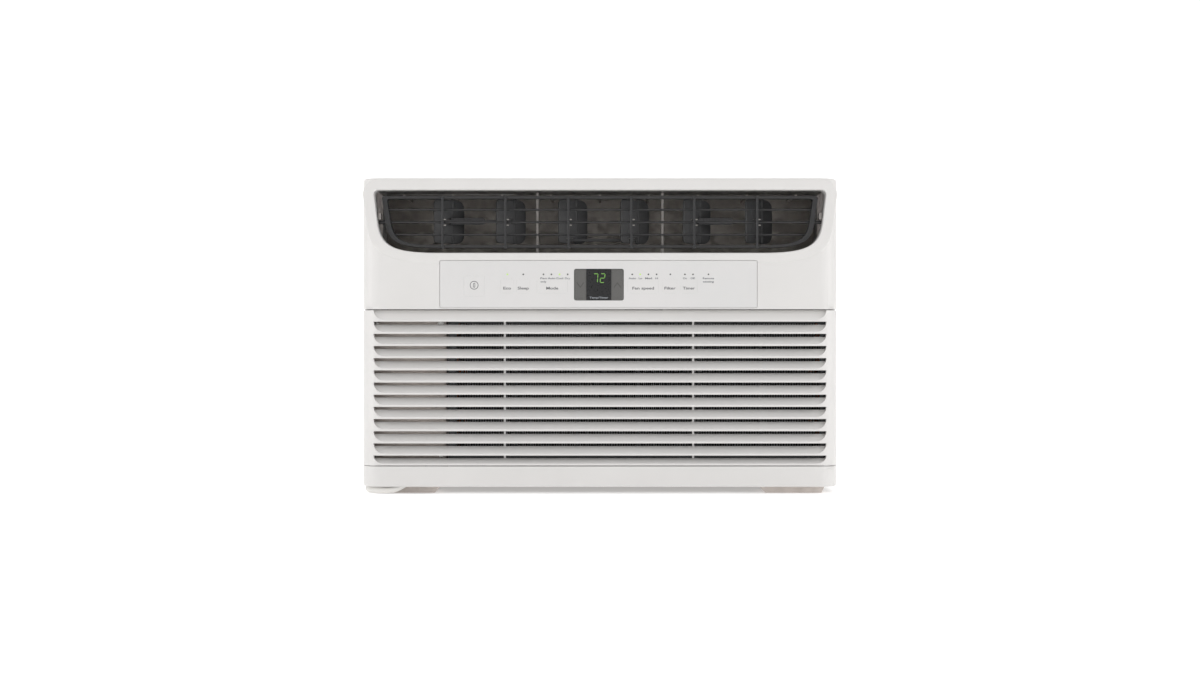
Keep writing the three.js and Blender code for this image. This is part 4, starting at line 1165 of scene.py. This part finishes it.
@dataclass
class Louver:
    """A ring inside the outlet that tilts on two pins, with three rods and six upright bars."""
    y: float = -179.5
    front: float = -185.0
    back: float = -174.0
    levels: tuple = (255.8, 268.2, 280.6)

    def build(self) -> None:
        """Make the ring, its rods, bars, pins and clips, and the painted highlight lines on the ring's
        edge and the bars.
        """
        section = [(0.0, self.back - 0.6), (0.0, self.front + 0.8), (0.1, self.front + 0.25),
                   (0.22, self.front), (0.8, self.front), (0.95, self.front + 0.3),
                   (1.0, self.front + 1.0), (1.0, self.back - 0.4), (0.93, self.back),
                   (0.1, self.back)]
        rings = [raised(outlet_outline(-7 - 5.4 * t, -5.2 - 2.8 * t), y, Axis.Y) for t, y in section]
        ring = loft(np.stack(rings), closed=True)
        piece("louver_ring", ring, LOUVER_PAINTED_SHADE_ABS, "louver", ("louver_frame",),
              angle=40)
        # A thin strip of lighter plastic round the ring's front outer edge: a painted highlight.
        edge = [(0.15, self.front - 0.1), (0.25, self.front - 0.28), (0.5, self.front - 0.28),
                (0.6, self.front - 0.1), (0.6, self.front + 0.1), (0.15, self.front + 0.1)]
        line = loft(np.stack([raised(outlet_outline(-7 - d, -5.2 - d * 0.7), y, Axis.Y)
                              for d, y in edge]), closed=True)
        piece("louver_ring_edge", line, LEVER_AND_HIGHLIGHT_ABS, "louver", angle=50)
        rods = together([rod((-219, self.y, z), (219, self.y, z), 1.05, 14) for z in self.levels])
        within = prism(outlet_outline(-9, -6), self.front, self.back)
        piece("louver_rods", carve(rods, [("INTERSECT", within)]), LOUVER_PAINTED_SHADE_ABS, "louver",
              angle=50)
        bars, clips, edges = [], [], []
        for pivot in PIVOTS:
            x = pivot - VANE_SHIFT
            bars.append(slab(x - 1.0, x + 1.05, self.front - 1.5, self.front + 1.4, 243.6, 293.6, 0.3,
                             0.3))
            # A lighter strip down each bar's left side: a painted highlight, where light from the left
            # catches the bar.
            edges.append(slab(x - 1.15, x - 0.9, self.front - 1.45, self.front + 1.2, 244, 293.2, 0.1,
                              0.1))
            bars.append(lathe(np.array([[0, 241.4], [1.3, 241.5], [1.6, 242.0], [1.6, 243.8],
                                        [1.2, 244.4], [0, 244.5]]), x, self.front - 0.2, 0, Axis.Z, 16))
            bars += [slab(x - 0.9, x + 0.9, self.front + 1.0, self.y + 0.9, z - 1.5, z + 1.5, 0.4)
                     for z in self.levels]
            # Small pale clips beside each bar, where the pins show two small highlights: their pale colour
            # is a painted highlight.
            clips += [slab(x + 1.0, x + 3.2, self.front - 0.9, self.front + 1.2, z - 0.5, z + 0.5, 0.3)
                      for z in (265.0, 270.6)]
        middle = self.levels[1]
        pins = [rod((s * 210, self.y, middle), (s * 222.2, self.y, middle), 1.8, 16)
                for s in (-1, 1)]
        piece("louver_bars", together([*bars, *pins]), LOUVER_PAINTED_SHADE_ABS, "louver",
              angle=40)
        piece("louver_bar_edges", together(edges), LEVER_AND_HIGHLIGHT_ABS, "louver")
        piece("louver_clips", together(clips), CLIP_AND_HIGHLIGHT_NYLON, "louver", angle=40)


@dataclass
class Vanes:
    """Six turning blades in three linked pairs; the outer links carry a ribbed thumb lever."""
    bottom: float = 248.3
    top: float = 292.1
    front: float = -22.4
    back: float = 13.6
    thick: float = 0.8
    crank: float = 8.0

    def outline(self, amount: float) -> Array:
        """The blade's outline, with 3.5 mm corners in front and 9 mm behind.

        Args:
            amount: how far it is set in.
        Returns:
            The outline's points.
        """
        u0, u1 = self.front + amount, self.back - amount
        z0, z1 = self.bottom + amount, self.top - amount
        turn = np.linspace(0, np.pi / 2, 9)
        r, q = 9.0 - amount, max(3.5 - amount, 0.4)
        parts = [(u1 - r, z0 + r, r, -np.pi / 2), (u1 - r, z1 - r, r, 0), (u0 + q, z1 - q, q, np.pi / 2),
                 (u0 + q, z0 + q, q, np.pi)]
        return np.concatenate([np.stack([u + k * np.cos(a + turn), z + k * np.sin(a + turn)], 1)
                               for u, z, k, a in parts])

    def blade(self, level: float) -> Shell:
        """One blade with a raised rim, a strip down it, its pins and the notch for the link.

        Args:
            level: the notch's height.
        Returns:
            The blade's shell.
        """
        plate = prism(self.outline(0.9), -self.thick + 0.2, self.thick - 0.2)
        rim = cut(prism(self.outline(0), -self.thick, self.thick, Axis.Y, 0.3, 2),
                  prism(self.outline(1.5), -2, 2))
        strip = slab(-14.6, -13.2, -self.thick, self.thick, self.bottom + 1, self.top - 1, 0.3)
        pins = [rod((0, 0, self.bottom - 3.9), (0, 0, self.top + 3.5), 1.25, 16),
                rod((0, 0, self.bottom - 0.4), (0, 0, self.bottom + 6), 1.9, 16),
                rod((0, 0, self.top - 6), (0, 0, self.top + 0.4), 1.9, 16)]
        notch = slab(-self.crank - 4.5, -self.crank + 4.5, -3, 3, level - 2.2, level + 2.2, 0.5, 0)
        return carve(plate, [("UNION", rim), ("UNION", strip), *[("UNION", p) for p in pins],
                             ("DIFFERENCE", notch)])

    def build(self) -> None:
        """Make the blades and the links."""
        reach = self.crank * math.cos(TURN), self.crank * math.sin(TURN)
        for i, x in enumerate(PIVOTS):
            level = LOW_LINK if i in (2, 3) else HIGH_LINK
            piece(f"blade_{i + 1}", turned(self.blade(level), TURN, x, PIVOT_Y), CHARCOAL_ABS,
                  f"vane_{i + 1}", (f"vane_{i + 1}",), soft=0.12)
        for pair, side in enumerate(("left", "center", "right")):
            x, y = PIVOTS[2 * pair] - reach[0], PIVOT_Y - reach[1]
            z = LOW_LINK if side == "center" else HIGH_LINK
            bar = [slab(x - 3.3, x + 65.5, y - 1.2, y + 1.2, z - 1.4, z + 1.4, 0.6, 0.4)]
            bar += [rod((x + d, y, z - 1.9), (x + d, y, z + 1.9), 2.2, 16) for d in (0, VANE_PITCH)]
            finish = CHARCOAL_ABS
            if side != "center":
                bar.append(slab(x + 5, x + 38.6, y - 1.8, y + 1.2, z - 3.4, z + 3.4, 1.2, 0.5))
                bar += [slab(x + 7 + 3 * k, x + 8.3 + 3 * k, y - 2.55, y - 1.4, z - 3.0, z + 3.0, 0.5, 0.3)
                        for k in range(11)]
                finish = LEVER_AND_HIGHLIGHT_ABS
            piece(f"link_{side}_bar", together(bar), finish, f"link_{side}",
                  (f"link_bar_{side}",))


@dataclass
class OutletDuct:
    """The tunnel from the blower to the outlet, with bearing rails, posts and moulded wall ribs."""
    post_x: float = 63.0

    def build(self) -> None:
        """Make the tunnel from its walls, and add the pale posts."""
        tunnel = cut(prism(rounded_rect(-225, 225, 236.2, 301.4, 2.5), -173, -36),
                     prism(rounded_rect(-223, 223, 238.2, 299.4, 4), -174, -38),
                     slab(-38, 148, -108, -40, 230, 240, 2, 0))
        rails = [slab(-224, 224, PIVOT_Y - 3, PIVOT_Y + 3, z0, z1, 0.6, 0.6)
                 for z0, z1 in ((293.4, 296.2), (243.8, 246.8))]
        bores = together([rod((x, PIVOT_Y, 240), (x, PIVOT_Y, 298), 1.7, 16) for x in PIVOTS])
        ribs = [slab(s * 222.2 - 1.4, s * 222.2 + 1.4, -168 + 9 * k, -166.6 + 9 * k, 239, 299, 0.4, 0.3)
                for s in (-1, 1) for k in range(5) if k != 2]
        ribs += [slab(x - 0.7, x + 0.7, -128, -40, 297.4, 300, 0.3, 0.3) for x in range(-200, 201, 50)]
        made = carve(tunnel, [("UNION", together(rails)), ("DIFFERENCE", bores)])
        piece("duct_tunnel", together([made, *ribs]), DUCT_PAINTED_LIGHT_ABS, "cabinet",
              ("outlet_duct",), soft=0.2)
        posts = [slab(s * self.post_x - 1.2, s * self.post_x + 1.2, -149.6, -131, 237.5, 300, 0.5, 0.5)
                 for s in (-1, 1)]
        piece("duct_posts", together(posts), POST_ABS, "cabinet")
        clips = [slab(x - 1.2, x + 2.8, PIVOT_Y - 5.4, PIVOT_Y - 2.9, z0, z1, 0.5, 0.4)
                 for x in PIVOTS for z0, z1 in ((292.5, 294.4), (245.8, 247.4))]
        # Two pale pads on the collar's inner walls: painted highlights where the collar shows reflections.
        clips += [slab(s * 217.9 - 1.5, s * 217.9 + 1.5, -185.5, -176, z0, z1, 1.2, 0.8)
                  for s in (-1, 1) for z0, z1 in ((270.5, 277.5),)]
        piece("bearing_clips", together(clips), CLIP_AND_HIGHLIGHT_NYLON, "cabinet")


# Behind the grille -----------------------------------------------------------------------------

@dataclass
class AirFilter:
    """A framed screen of crossed threads that slides up in its guide."""
    x0: float = -146.0
    x1: float = 222.0
    z0: float = 33.0
    z1: float = 172.0
    y: float = -179.0
    pitch: float = 2.6

    def build(self) -> None:
        """Make the frame with its ribs, the netting and the guide."""
        frame = prism(rounded_rect(self.x0, self.x1, self.z0, self.z1, 2), self.y - 1.5, self.y + 1.5,
                      Axis.Y, 0.5)
        cells = [slab(-142 + c * 60.5, -84.5 + c * 60.5, self.y - 3, self.y + 3, 37 + r * 67,
                      101 + r * 67, 2, 0) for c in range(6) for r in range(2)]
        piece("filter_frame", cut(frame, together(cells)), CHARCOAL_ABS, "filter",
              ("air_filter",), soft=0.15)
        net = [slab(x - 0.25, x + 0.25, self.y - 0.05, self.y + 0.45, self.z0 + 2, self.z1 - 2, 0.1, 0)
               for x in np.arange(self.x0 + 3, self.x1 - 2, self.pitch)]
        net += [slab(self.x0 + 2, self.x1 - 2, self.y - 0.45, self.y + 0.05, z - 0.25, z + 0.25, 0.1, 0)
                for z in np.arange(self.z0 + 3, self.z1 - 2, self.pitch)]
        piece("filter_netting", together(net), SCREEN_FIBRE, "filter", angle=60)
        guide = prism(rounded_rect(-150, 226, 29, 180, 3), -182.5, -175.5, Axis.Y, 0.8)
        channel = slab(-146.4, 222.4, self.y - 1.9, self.y + 1.9, 32.6, 178.5, 1, 0)
        window = slab(-142, 218, -190, -170, 37, 168, 3, 0)
        piece("filter_rails", cut(guide, channel, window), CHARCOAL_ABS, "cabinet",
              ("filter_guide",), soft=0.2)


@dataclass
class FinnedCoil:
    """A block of thin pressed fins on copper tubes, with end plates and round return bends (mm)."""
    name: str
    node: str
    x: tuple[float, float]
    y: tuple[float, float]
    z: tuple[float, float]
    rows: int
    pitch: float = 2.0

    def build(self) -> None:
        """Make fins with rippled edges, the tubes' return bends, and end plates."""
        x0, x1 = self.x[0] + 9.5, self.x[1] - 9.5
        y0, y1 = self.y[0] + 1, self.y[1] - 1
        at = np.arange(x0 + 0.5, x1, self.pitch)
        steps = int((self.z[1] - self.z[0]) / 6)
        z = np.linspace(self.z[0] + 1, self.z[1] - 1, steps)
        wave = 0.35 * np.cos(np.arange(steps) * np.pi)
        side = np.concatenate([np.stack([y0 + 0.4 + wave, z], 1),
                               np.stack([y1 - 0.4 + wave, z], 1)[::-1]])[::-1]
        fins = together([prism(side, x, x + 0.32, Axis.X) for x in at])
        piece(f"{self.name}_fins", fins, FIN_ALUMINIUM, "cabinet", (self.node,),
              angle=20)
        gap = (self.z[1] - self.z[0]) / self.rows
        bends, turn = [], np.linspace(-np.pi / 2, np.pi / 2, 13)
        middle = (y0 + y1) / 2
        for i in range(self.rows):
            level, half = self.z[0] + (i + 0.5) * gap, gap * 0.25
            for s, end in ((-1, self.x[0] + 8), (1, self.x[1] - 8)):
                arc = np.stack([end + s * np.cos(turn) * 5.2, np.full(13, middle),
                                level + half * np.sin(turn)], 1)
                into = arc[[0, -1]] - [s * 6, 0, 0]
                bends.append(tube(np.concatenate([into[:1], arc, into[1:]]), 2.6, 12))
        piece(f"{self.name}_bends", together(bends), DRAWN_COPPER, "cabinet", angle=50)
        plates = [slab(a, a + 1.4, self.y[0] + 0.1, self.y[1] - 0.1, self.z[0] + 0.1, self.z[1] - 0.1, 1)
                  for a in (self.x[0] + 8.1, self.x[1] - 9.5)]
        piece(f"{self.name}_plates", together(plates), ZINC_STEEL, "cabinet")


# Cabinet ---------------------------------------------------------------------------------------

def screw(x: float, y: float, z: float, axis: Axis, way: int, r: float = 3.6, rise: float = 1.1
          ) -> Shell:
    """A low hexagon screw head on its round flange, standing on a surface.

    Args:
        x, y, z: the middle of its foot.
        axis: the direction it stands along.
        way: 1 or -1 along that direction.
        r: the flange's radius.
        rise: the head's height.
    Returns:
        The shell.
    """
    flange = lathe(np.array([[0, -0.2], [r, -0.2], [r, 0.15], [r * 0.9, 0.35], [0, 0.36]])
                   * [1, way], x, y, z, axis, 24)
    head = prism(circle(0, 0, r * 0.72, 6), *sorted((0.2 * way, rise * way)), axis, 0.15, 2)
    return together([flange, (head[0] + [x, y, z], head[1])])


@dataclass
class Cabinet:
    """The coated steel wrap with vent slots and screws, the pan, four feet and the rear guard."""
    half: float = 233.5
    bottom: float = 9.0
    top: float = 309.8
    front: float = -119.6
    back: float = 193.5
    sheet: float = 1.2

    def build(self) -> None:
        """Make the wrap, its trim, the pan, the feet and the guard."""
        self._wrap()
        self._pan()
        self._guard()

    def _wrap(self) -> None:
        """Bend the wrap with 3 mm corners, slot it, and put its screws in."""
        wrap = prism(rounded_rect(-self.half, self.half, self.bottom - 12, self.top, 3.2),
                     self.front, self.back)
        inner = prism(rounded_rect(-self.half + self.sheet, self.half - self.sheet, -14,
                                   self.top - self.sheet, 2),
                      self.front - 1, self.back + 1)
        below = slab(-240, 240, -130, 200, -20, self.bottom, 0.01, 0)
        vents = []
        for row in range(7):
            for y in (10, 95):
                low = 110 + row * 24
                shape = rounded_rect(y, y + 70, low, low + 6, 2.9)
                vents += [prism(shape, s * self.half - 3, s * self.half + 3, Axis.X) for s in (-1, 1)]
        for row in range(4):
            for x in (-190, 20):
                y = 60 + row * 24
                vents.append(prism(rounded_rect(x, x + 170, y, y + 6, 2.9), self.top - 3,
                                   self.top + 3, Axis.Z))
        shell = cut(wrap, inner, below, together(vents))
        piece("cabinet_wrap", shell, CABINET_COAT, "cabinet", ("cabinet_shell",),
              soft=0.3)
        screws = [screw(s * self.half, y, z, Axis.X, s) for s in (-1, 1)
                  for y, z in ((-108, 60), (-108, 258), (176, 40), (176, 286), (30, 20), (-80, 20))]
        screws += [screw(x, y, self.top, Axis.Z, 1) for x in (-180, 0, 180) for y in (-108, 180)]
        piece("cabinet_screws", together(screws), BRIGHT_STEEL, "cabinet")
        hems = []
        for y in (-112.5, 184.5):
            hems += [slab(s * (self.half + 0.35) - 0.4, s * (self.half + 0.35) + 0.4, y - 0.8, y + 0.8,
                          12, 304, 0.3, 0.3) for s in (-1, 1)]
        hems += [slab(-150, 150, -70 + 24 * k, -68 + 24 * k, self.top - 0.3, self.top + 0.6, 0.4, 0.3)
                 for k in range(5)]
        piece("cabinet_beads", together(hems), CABINET_COAT, "cabinet")

    def _pan(self) -> None:
        """Fold the pan with rounded corners; set four skids under it."""
        pan = cut(prism(rounded_rect(-231.6, 231.6, -164.5, 193.1, 4), 7, 31, Axis.Z, 0.6),
                  prism(rounded_rect(-230.4, 230.4, -163.3, 191.9, 3), 8.2, 33, Axis.Z))
        piece("base_tray", pan, ZINC_STEEL, "cabinet", ("base_pan",), soft=0.2)
        for end, y in (("front", -178.0), ("rear", 130.0)):
            for side, s in (("left", -1), ("right", 1)):
                line = np.array([[0, 6.7], [6, 0], [62, 0], [65, 6.7]])
                line = line * [s, 1] + [s * 158, 0]
                line = line[::-1] if s < 0 else line
                foot = prism(line, y, y + 43, Axis.Y, 0.4)
                piece(f"skid_{end}_{side}", foot, PALE_ZINC_PAINTED_LIGHT, "cabinet",
                      (f"foot_{end}_{side}",), soft=0.3)

    def _guard(self) -> None:
        """Punch the rear guard with round-cornered cells, and round its edges a little."""
        sheet = prism(rounded_rect(-230, 230, 8.8, 308, 3), 187, 189, Axis.Y, 0.3)
        cells = [slab(-222 + 50 * c, -178 + 50 * c, 186, 190, 36 + 45 * r, 75 + 45 * r, 4, 0)
                 for c in range(9) for r in range(6)]
        piece("guard_sheet", cut(sheet, together(cells)), CABINET_COAT, "cabinet",
              ("rear_guard",), soft=0.3)
        screws = [screw(x, 189, z, Axis.Y, 1) for x in (-224, 0, 224) for z in (22, 303)]
        piece("guard_screws", together(screws), BRIGHT_STEEL, "cabinet")


# Cooling circuit and fans ----------------------------------------------------------------------

SHAFT_X, SHAFT_Z = 45.0, 128.0


def dress(node: str, finish: Finish) -> None:
    """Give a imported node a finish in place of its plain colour."""
    for place in bpy.data.objects[node].material_slots:
        place.material = finish.build()


def on_shaft(profile: Sequence[tuple[float, float]], steps: int = 64) -> Shell:
    """Turn a profile of (radius, y) pairs about the fans' shaft."""
    return lathe(np.array(profile, float), SHAFT_X, 0, SHAFT_Z, Axis.Y, steps)


def around_shaft(section: Array, angle: float) -> Array:
    """Turn points of (radial, y, tangential) to an angle about the fans' shaft.

    Args:
        section: the points' radial reach, y and tangential reach.
        angle: the turn in radians.
    Returns:
        Points in space.
    """
    c, s = math.cos(angle), math.sin(angle)
    reach, y, across = section[..., 0], section[..., 1], section[..., 2]
    return np.stack([SHAFT_X + reach * c - across * s, y, SHAFT_Z + reach * s + across * c], -1)


@dataclass
class CoolingCircuit:
    """The compressor on its plate, and three lines of bent tube."""
    centre: tuple[float, float] = (-160.0, 72.0)
    lines: tuple = (
        ("suction_line", 4.5, ((-140, -123.4, 158), (-141, -108, 160), (-160, -88, 180),
                               (-186, -60, 212), (-190, -20, 222), (-188, 30, 226),
                               (-170, 66, 222), (-160, 72, 202.5))),
        ("discharge_line", 3.2, ((-130, 72, 199.5), (-130, 74, 232), (-140, 84, 262),
                                 (-176, 110, 276), (-200, 138, 282), (-204, 159.4, 282))),
        ("liquid_line", 2.4, ((-214, 159.4, 26), (-216, 140, 26), (-222, 100, 27),
                              (-222, 20, 27), (-210, -20, 27), (-196, -70, 30),
                              (-160, -96, 38), (-141, -108, 42), (-140, -123.4, 42))))

    def build(self) -> None:
        """Spin the can, add its weld seam, plate and terminal cover, and bend the lines."""
        x, y = self.centre
        turn = np.linspace(0, np.pi / 2, 10)
        dome = [(58 * math.cos(a), 160 + 36 * math.sin(a)) for a in turn[:-1]]
        profile = [(0, 14.4), (44, 14.4), (54, 20), (57, 28), (57.3, 60), (57.3, 118), (58, 119),
                   (58, 125), (57.3, 126), (57.3, 158), *dome, (8, 196), (0, 196.5)]
        can = lathe(np.array(profile, float), x, y, 0, Axis.Z, 72)
        plate = prism(rounded_rect(x - 62, x + 62, y - 52, y + 52, 14), 10, 14.5, Axis.Z, 0.5)
        cover = prism(rounded_rect(x - 16, x + 16, 150, 182, 5), y - 57.5, y - 44, Axis.Y, 3)
        studs = [rod((x + a * 50, y + b * 40, 14), (x + a * 50, y + b * 40, 24), 5, 20, 1)
                 for a in (-1, 1) for b in (-1, 1)]
        stubs = [rod((-160, 72, 194), (-160, 72, 199.8), 6.0, 20),
                 rod((-130, 72, 186), (-130, 72, 198.9), 4.6, 20)]
        piece("compressor_can", together([can, plate, cover, *studs, *stubs]), BLACK_ENAMEL,
              "cabinet", ("compressor",), angle=40)
        for name, radius, knots in self.lines:
            line = smooth_line(np.array(knots, float), 8)
            piece(f"{name}_tube", tube(line, radius, 20), DRAWN_COPPER, "cabinet", (name,),
                  angle=60)


@dataclass
class Fans:
    """The motor, and the blower wheel and propeller fan that share its shaft."""
    wheel_blades: int = 40
    fan_blades: int = 5

    def build(self) -> None:
        """Make the motor, the shaft and both fans."""
        motor = [(5, 6.2), (14, 6.2), (16, 8), (16, 14), (36, 15), (41, 19), (42, 24), (42, 44), (41, 45),
                 (41, 47), (42, 48), (42, 68), (41, 73), (36, 77), (16, 78), (16, 84), (14, 85.8),
                 (5, 85.8)]
        piece("motor_can", on_shaft(motor), BLACK_ENAMEL, "cabinet", ("fan_motor",))
        shaft = rod((SHAFT_X, -92, SHAFT_Z), (SHAFT_X, 138, SHAFT_Z), 4, 32, 0.6)
        piece("rotor_shaft", shaft, BRIGHT_STEEL, "rotor", ("fan_shaft",))
        self._wheel()
        self._fan()

    def _wheel(self) -> None:
        """The wheel: a back plate with its hub, a front ring, and thin blades curved forwards."""
        plate = on_shaft([(4.4, -44), (14, -80), (16, -79), (16, -46), (24, -44), (71.5, -44),
                          (72, -43.5), (72, -42.3), (71.6, -42), (4.4, -42)])
        rim = np.array([[63, -99.6, 0], [63.4, -100, 0], [71.6, -100, 0], [72, -99.6, 0],
                        [72, -97.2, 0], [63, -97, 0]])
        rings = np.stack([around_shaft(rim, a)
                          for a in np.linspace(0, 2 * np.pi, 64, endpoint=False)])
        t = np.linspace(0, 1, 6)
        bow = 3.2 * np.sin(np.pi * t * 0.5) ** 2
        section = np.concatenate([np.stack([63.3 + 8 * t, bow], 1),
                                  np.stack([63.3 + 8 * t, bow + 0.8], 1)[::-1]])
        blades = []
        for k in range(self.wheel_blades):
            ends = [np.stack([section[:, 0], np.full(len(section), y), section[:, 1]], 1)
                    for y in (-98.5, -43.5)]
            blades.append(loft(around_shaft(np.stack(ends), 2 * np.pi * k / self.wheel_blades)))
        piece("blower_rotor", together([plate, loft(rings, closed=True), *blades]), FAN_NYLON, "rotor",
              ("blower_wheel",), angle=35)

    def _fan(self) -> None:
        """The fan: a domed hub, a slinger ring, and blades whose section is an arc at a pitch."""
        hub = on_shaft([(4.4, 112.5), (18, 112.4), (21, 113.6), (22, 116), (22, 134), (20.5, 135.8),
                        (16, 136), (15, 134.5), (7, 134.5), (4.4, 134.5)])
        ring = np.stack([around_shaft(np.array([[99.6, 120.3, 0], [99.9, 120, 0], [101.7, 120, 0],
                                                [102, 120.3, 0], [102, 127.7, 0], [101.7, 128, 0],
                                                [99.9, 128, 0], [99.6, 127.7, 0]]), a)
                         for a in np.linspace(0, 2 * np.pi, 96, endpoint=False)])
        s = np.linspace(-1, 1, 15)
        blades = []
        reach = np.linspace(20.5, 100.2, 14)
        for k in range(self.fan_blades):
            rings = []
            for r in reach:
                width = 16 + 6 * (r - 20) / 80
                across = s * width + 5 * ((r - 60) / 60) ** 2
                level = 124 + s * 12.2 + 1.4 * (1 - s ** 2)
                thick = 0.25 + 0.75 * np.sqrt(1 - s ** 2)
                front = np.stack([np.full(15, r), level - thick, across], 1)
                rear = np.stack([np.full(15, r), level + thick, across], 1)[::-1]
                rings.append(np.concatenate([front, rear]))
            blades.append(loft(around_shaft(np.stack(rings), 2 * np.pi * k / self.fan_blades)))
        piece("propeller_fan", together([hub, loft(ring, closed=True), *blades]), FAN_NYLON, "rotor",
              ("condenser_fan",), angle=35)


@dataclass
class AirPath:
    """The foam scroll round the blower, the bulkhead, and the fan's shroud."""

    def build(self) -> None:
        """Cut the scroll from two spirals, and the shroud from its plate and collar."""
        room, grown = self._spiral(0), self._spiral(4)
        room[0, 1] = room[-1, 1] = 236.6
        scroll = cut(prism(grown, -110, -24, Axis.Y, 1.2), prism(room, -107, -27),
                     on_shaft([(58, -112), (58, -106), (0, -106)], 64),
                     on_shaft([(12, -30), (12, -20), (0, -20)], 32))
        piece("scroll_foam", scroll, BEAD_FOAM, "cabinet", ("blower_scroll",), soft=0.5)
        plate = prism(rounded_rect(-96, 230, 8.8, 300, 3), 130, 132)
        collar = on_shaft([(0, 114), (109.4, 114), (110, 114.6), (110, 130.5), (0, 130.5)], 96)
        hole = on_shaft([(0, 112), (108.6, 112), (107.5, 116), (107.5, 126), (108.5, 134), (0, 134)], 96)
        shroud = carve(plate, [("UNION", collar), ("DIFFERENCE", hole)])
        piece("shroud_ring", shroud, BLACK_ENAMEL, "cabinet", ("fan_shroud",), soft=0.3)
        dress("bulkhead", ZINC_STEEL)
        dress("motor_bracket", ZINC_STEEL)

    def _spiral(self, grow: float) -> Array:
        """The scroll's outline, anticlockwise: its radius grows evenly with the half turn.

        Args:
            grow: how far outwards it is moved.
        Returns:
            The outline's points.
        """
        t = np.linspace(0, 1, 48)
        reach, angle = 84 + grow + 20 * t, np.pi * (1 + t)
        curve = np.stack([SHAFT_X + reach * np.cos(angle), SHAFT_Z + reach * np.sin(angle)], 1)
        return np.concatenate([[[SHAFT_X - 84 - grow, 235.6]], curve, [[SHAFT_X + 104 + grow, 235.6]]])


@dataclass
class Electrics:
    """The control box with its folded cover and screws, the run capacitor, and the key board."""

    def build(self) -> None:
        """Fold the cover and box, spin the capacitor, and dress the board."""
        cover = prism(rounded_rect(-228, -152.5, 32, 176, 2.5), -175.5, -174, Axis.Y, 0.4)
        box = cut(prism(rounded_rect(-226, -154.5, 34, 140, 2), -174.5, -126),
                  prism(rounded_rect(-224.5, -156, 35.5, 138.5, 1), -174, -127.5))
        beads = [slab(-219, -161, -176.0, -174.5, 52 + 22 * k, 54.5 + 22 * k, 1.1, 0.5) for k in range(5)]
        made = carve(cover, [("UNION", box), ("UNION", together(beads))])
        piece("control_box", made, PALE_ZINC_PAINTED_LIGHT, "cabinet", ("electrical_box",),
              soft=0.2)
        screws = [screw(x, -175.5, z, Axis.Y, -1, 3.2, 1.4) for x in (-223, -158) for z in (38, 168)]
        piece("control_box_screws", together(screws), BRIGHT_STEEL, "cabinet")
        can = [(0, 36), (17.5, 36), (19, 37.5), (19, 98), (18.2, 99), (18.8, 100), (18.8, 102), (17, 103),
               (16.5, 101.5), (0, 101.5)]
        tabs = [slab(-190 + 7 * k - 2.4, -190 + 7 * k + 2.4, -150.4, -149.6, 101, 103.9, 0.3, 0.1)
                for k in (-1, 0, 1)]
        body = lathe(np.array(can, float), -190, -150, 0, Axis.Z, 48)
        piece("run_capacitor", together([body, *tabs]), FIN_ALUMINIUM, "cabinet",
              ("capacitor",))
        dress("control_board", SOLDER_MASK)


def main() -> None:
    """Build everything in order."""
    logging.basicConfig(level=logging.INFO, format="%(message)s")
    parts = [
        Studio(), PowerCord(), FrontFrame(), IntakeGrille(), ControlPanel(), Louver(), Vanes(),
        OutletDuct(), AirFilter(),
        FinnedCoil("cold_coil", "evaporator_coil", (-148, 224), (-150, -124), (12, 178), 5),
        FinnedCoil("hot_coil", "condenser_coil", (-228, 228), (160, 183), (10, 300), 7),
        Cabinet(), CoolingCircuit(), Fans(), AirPath(), Electrics()]
    for part in parts:
        part.build()


if __name__ == "__main__":
    main()
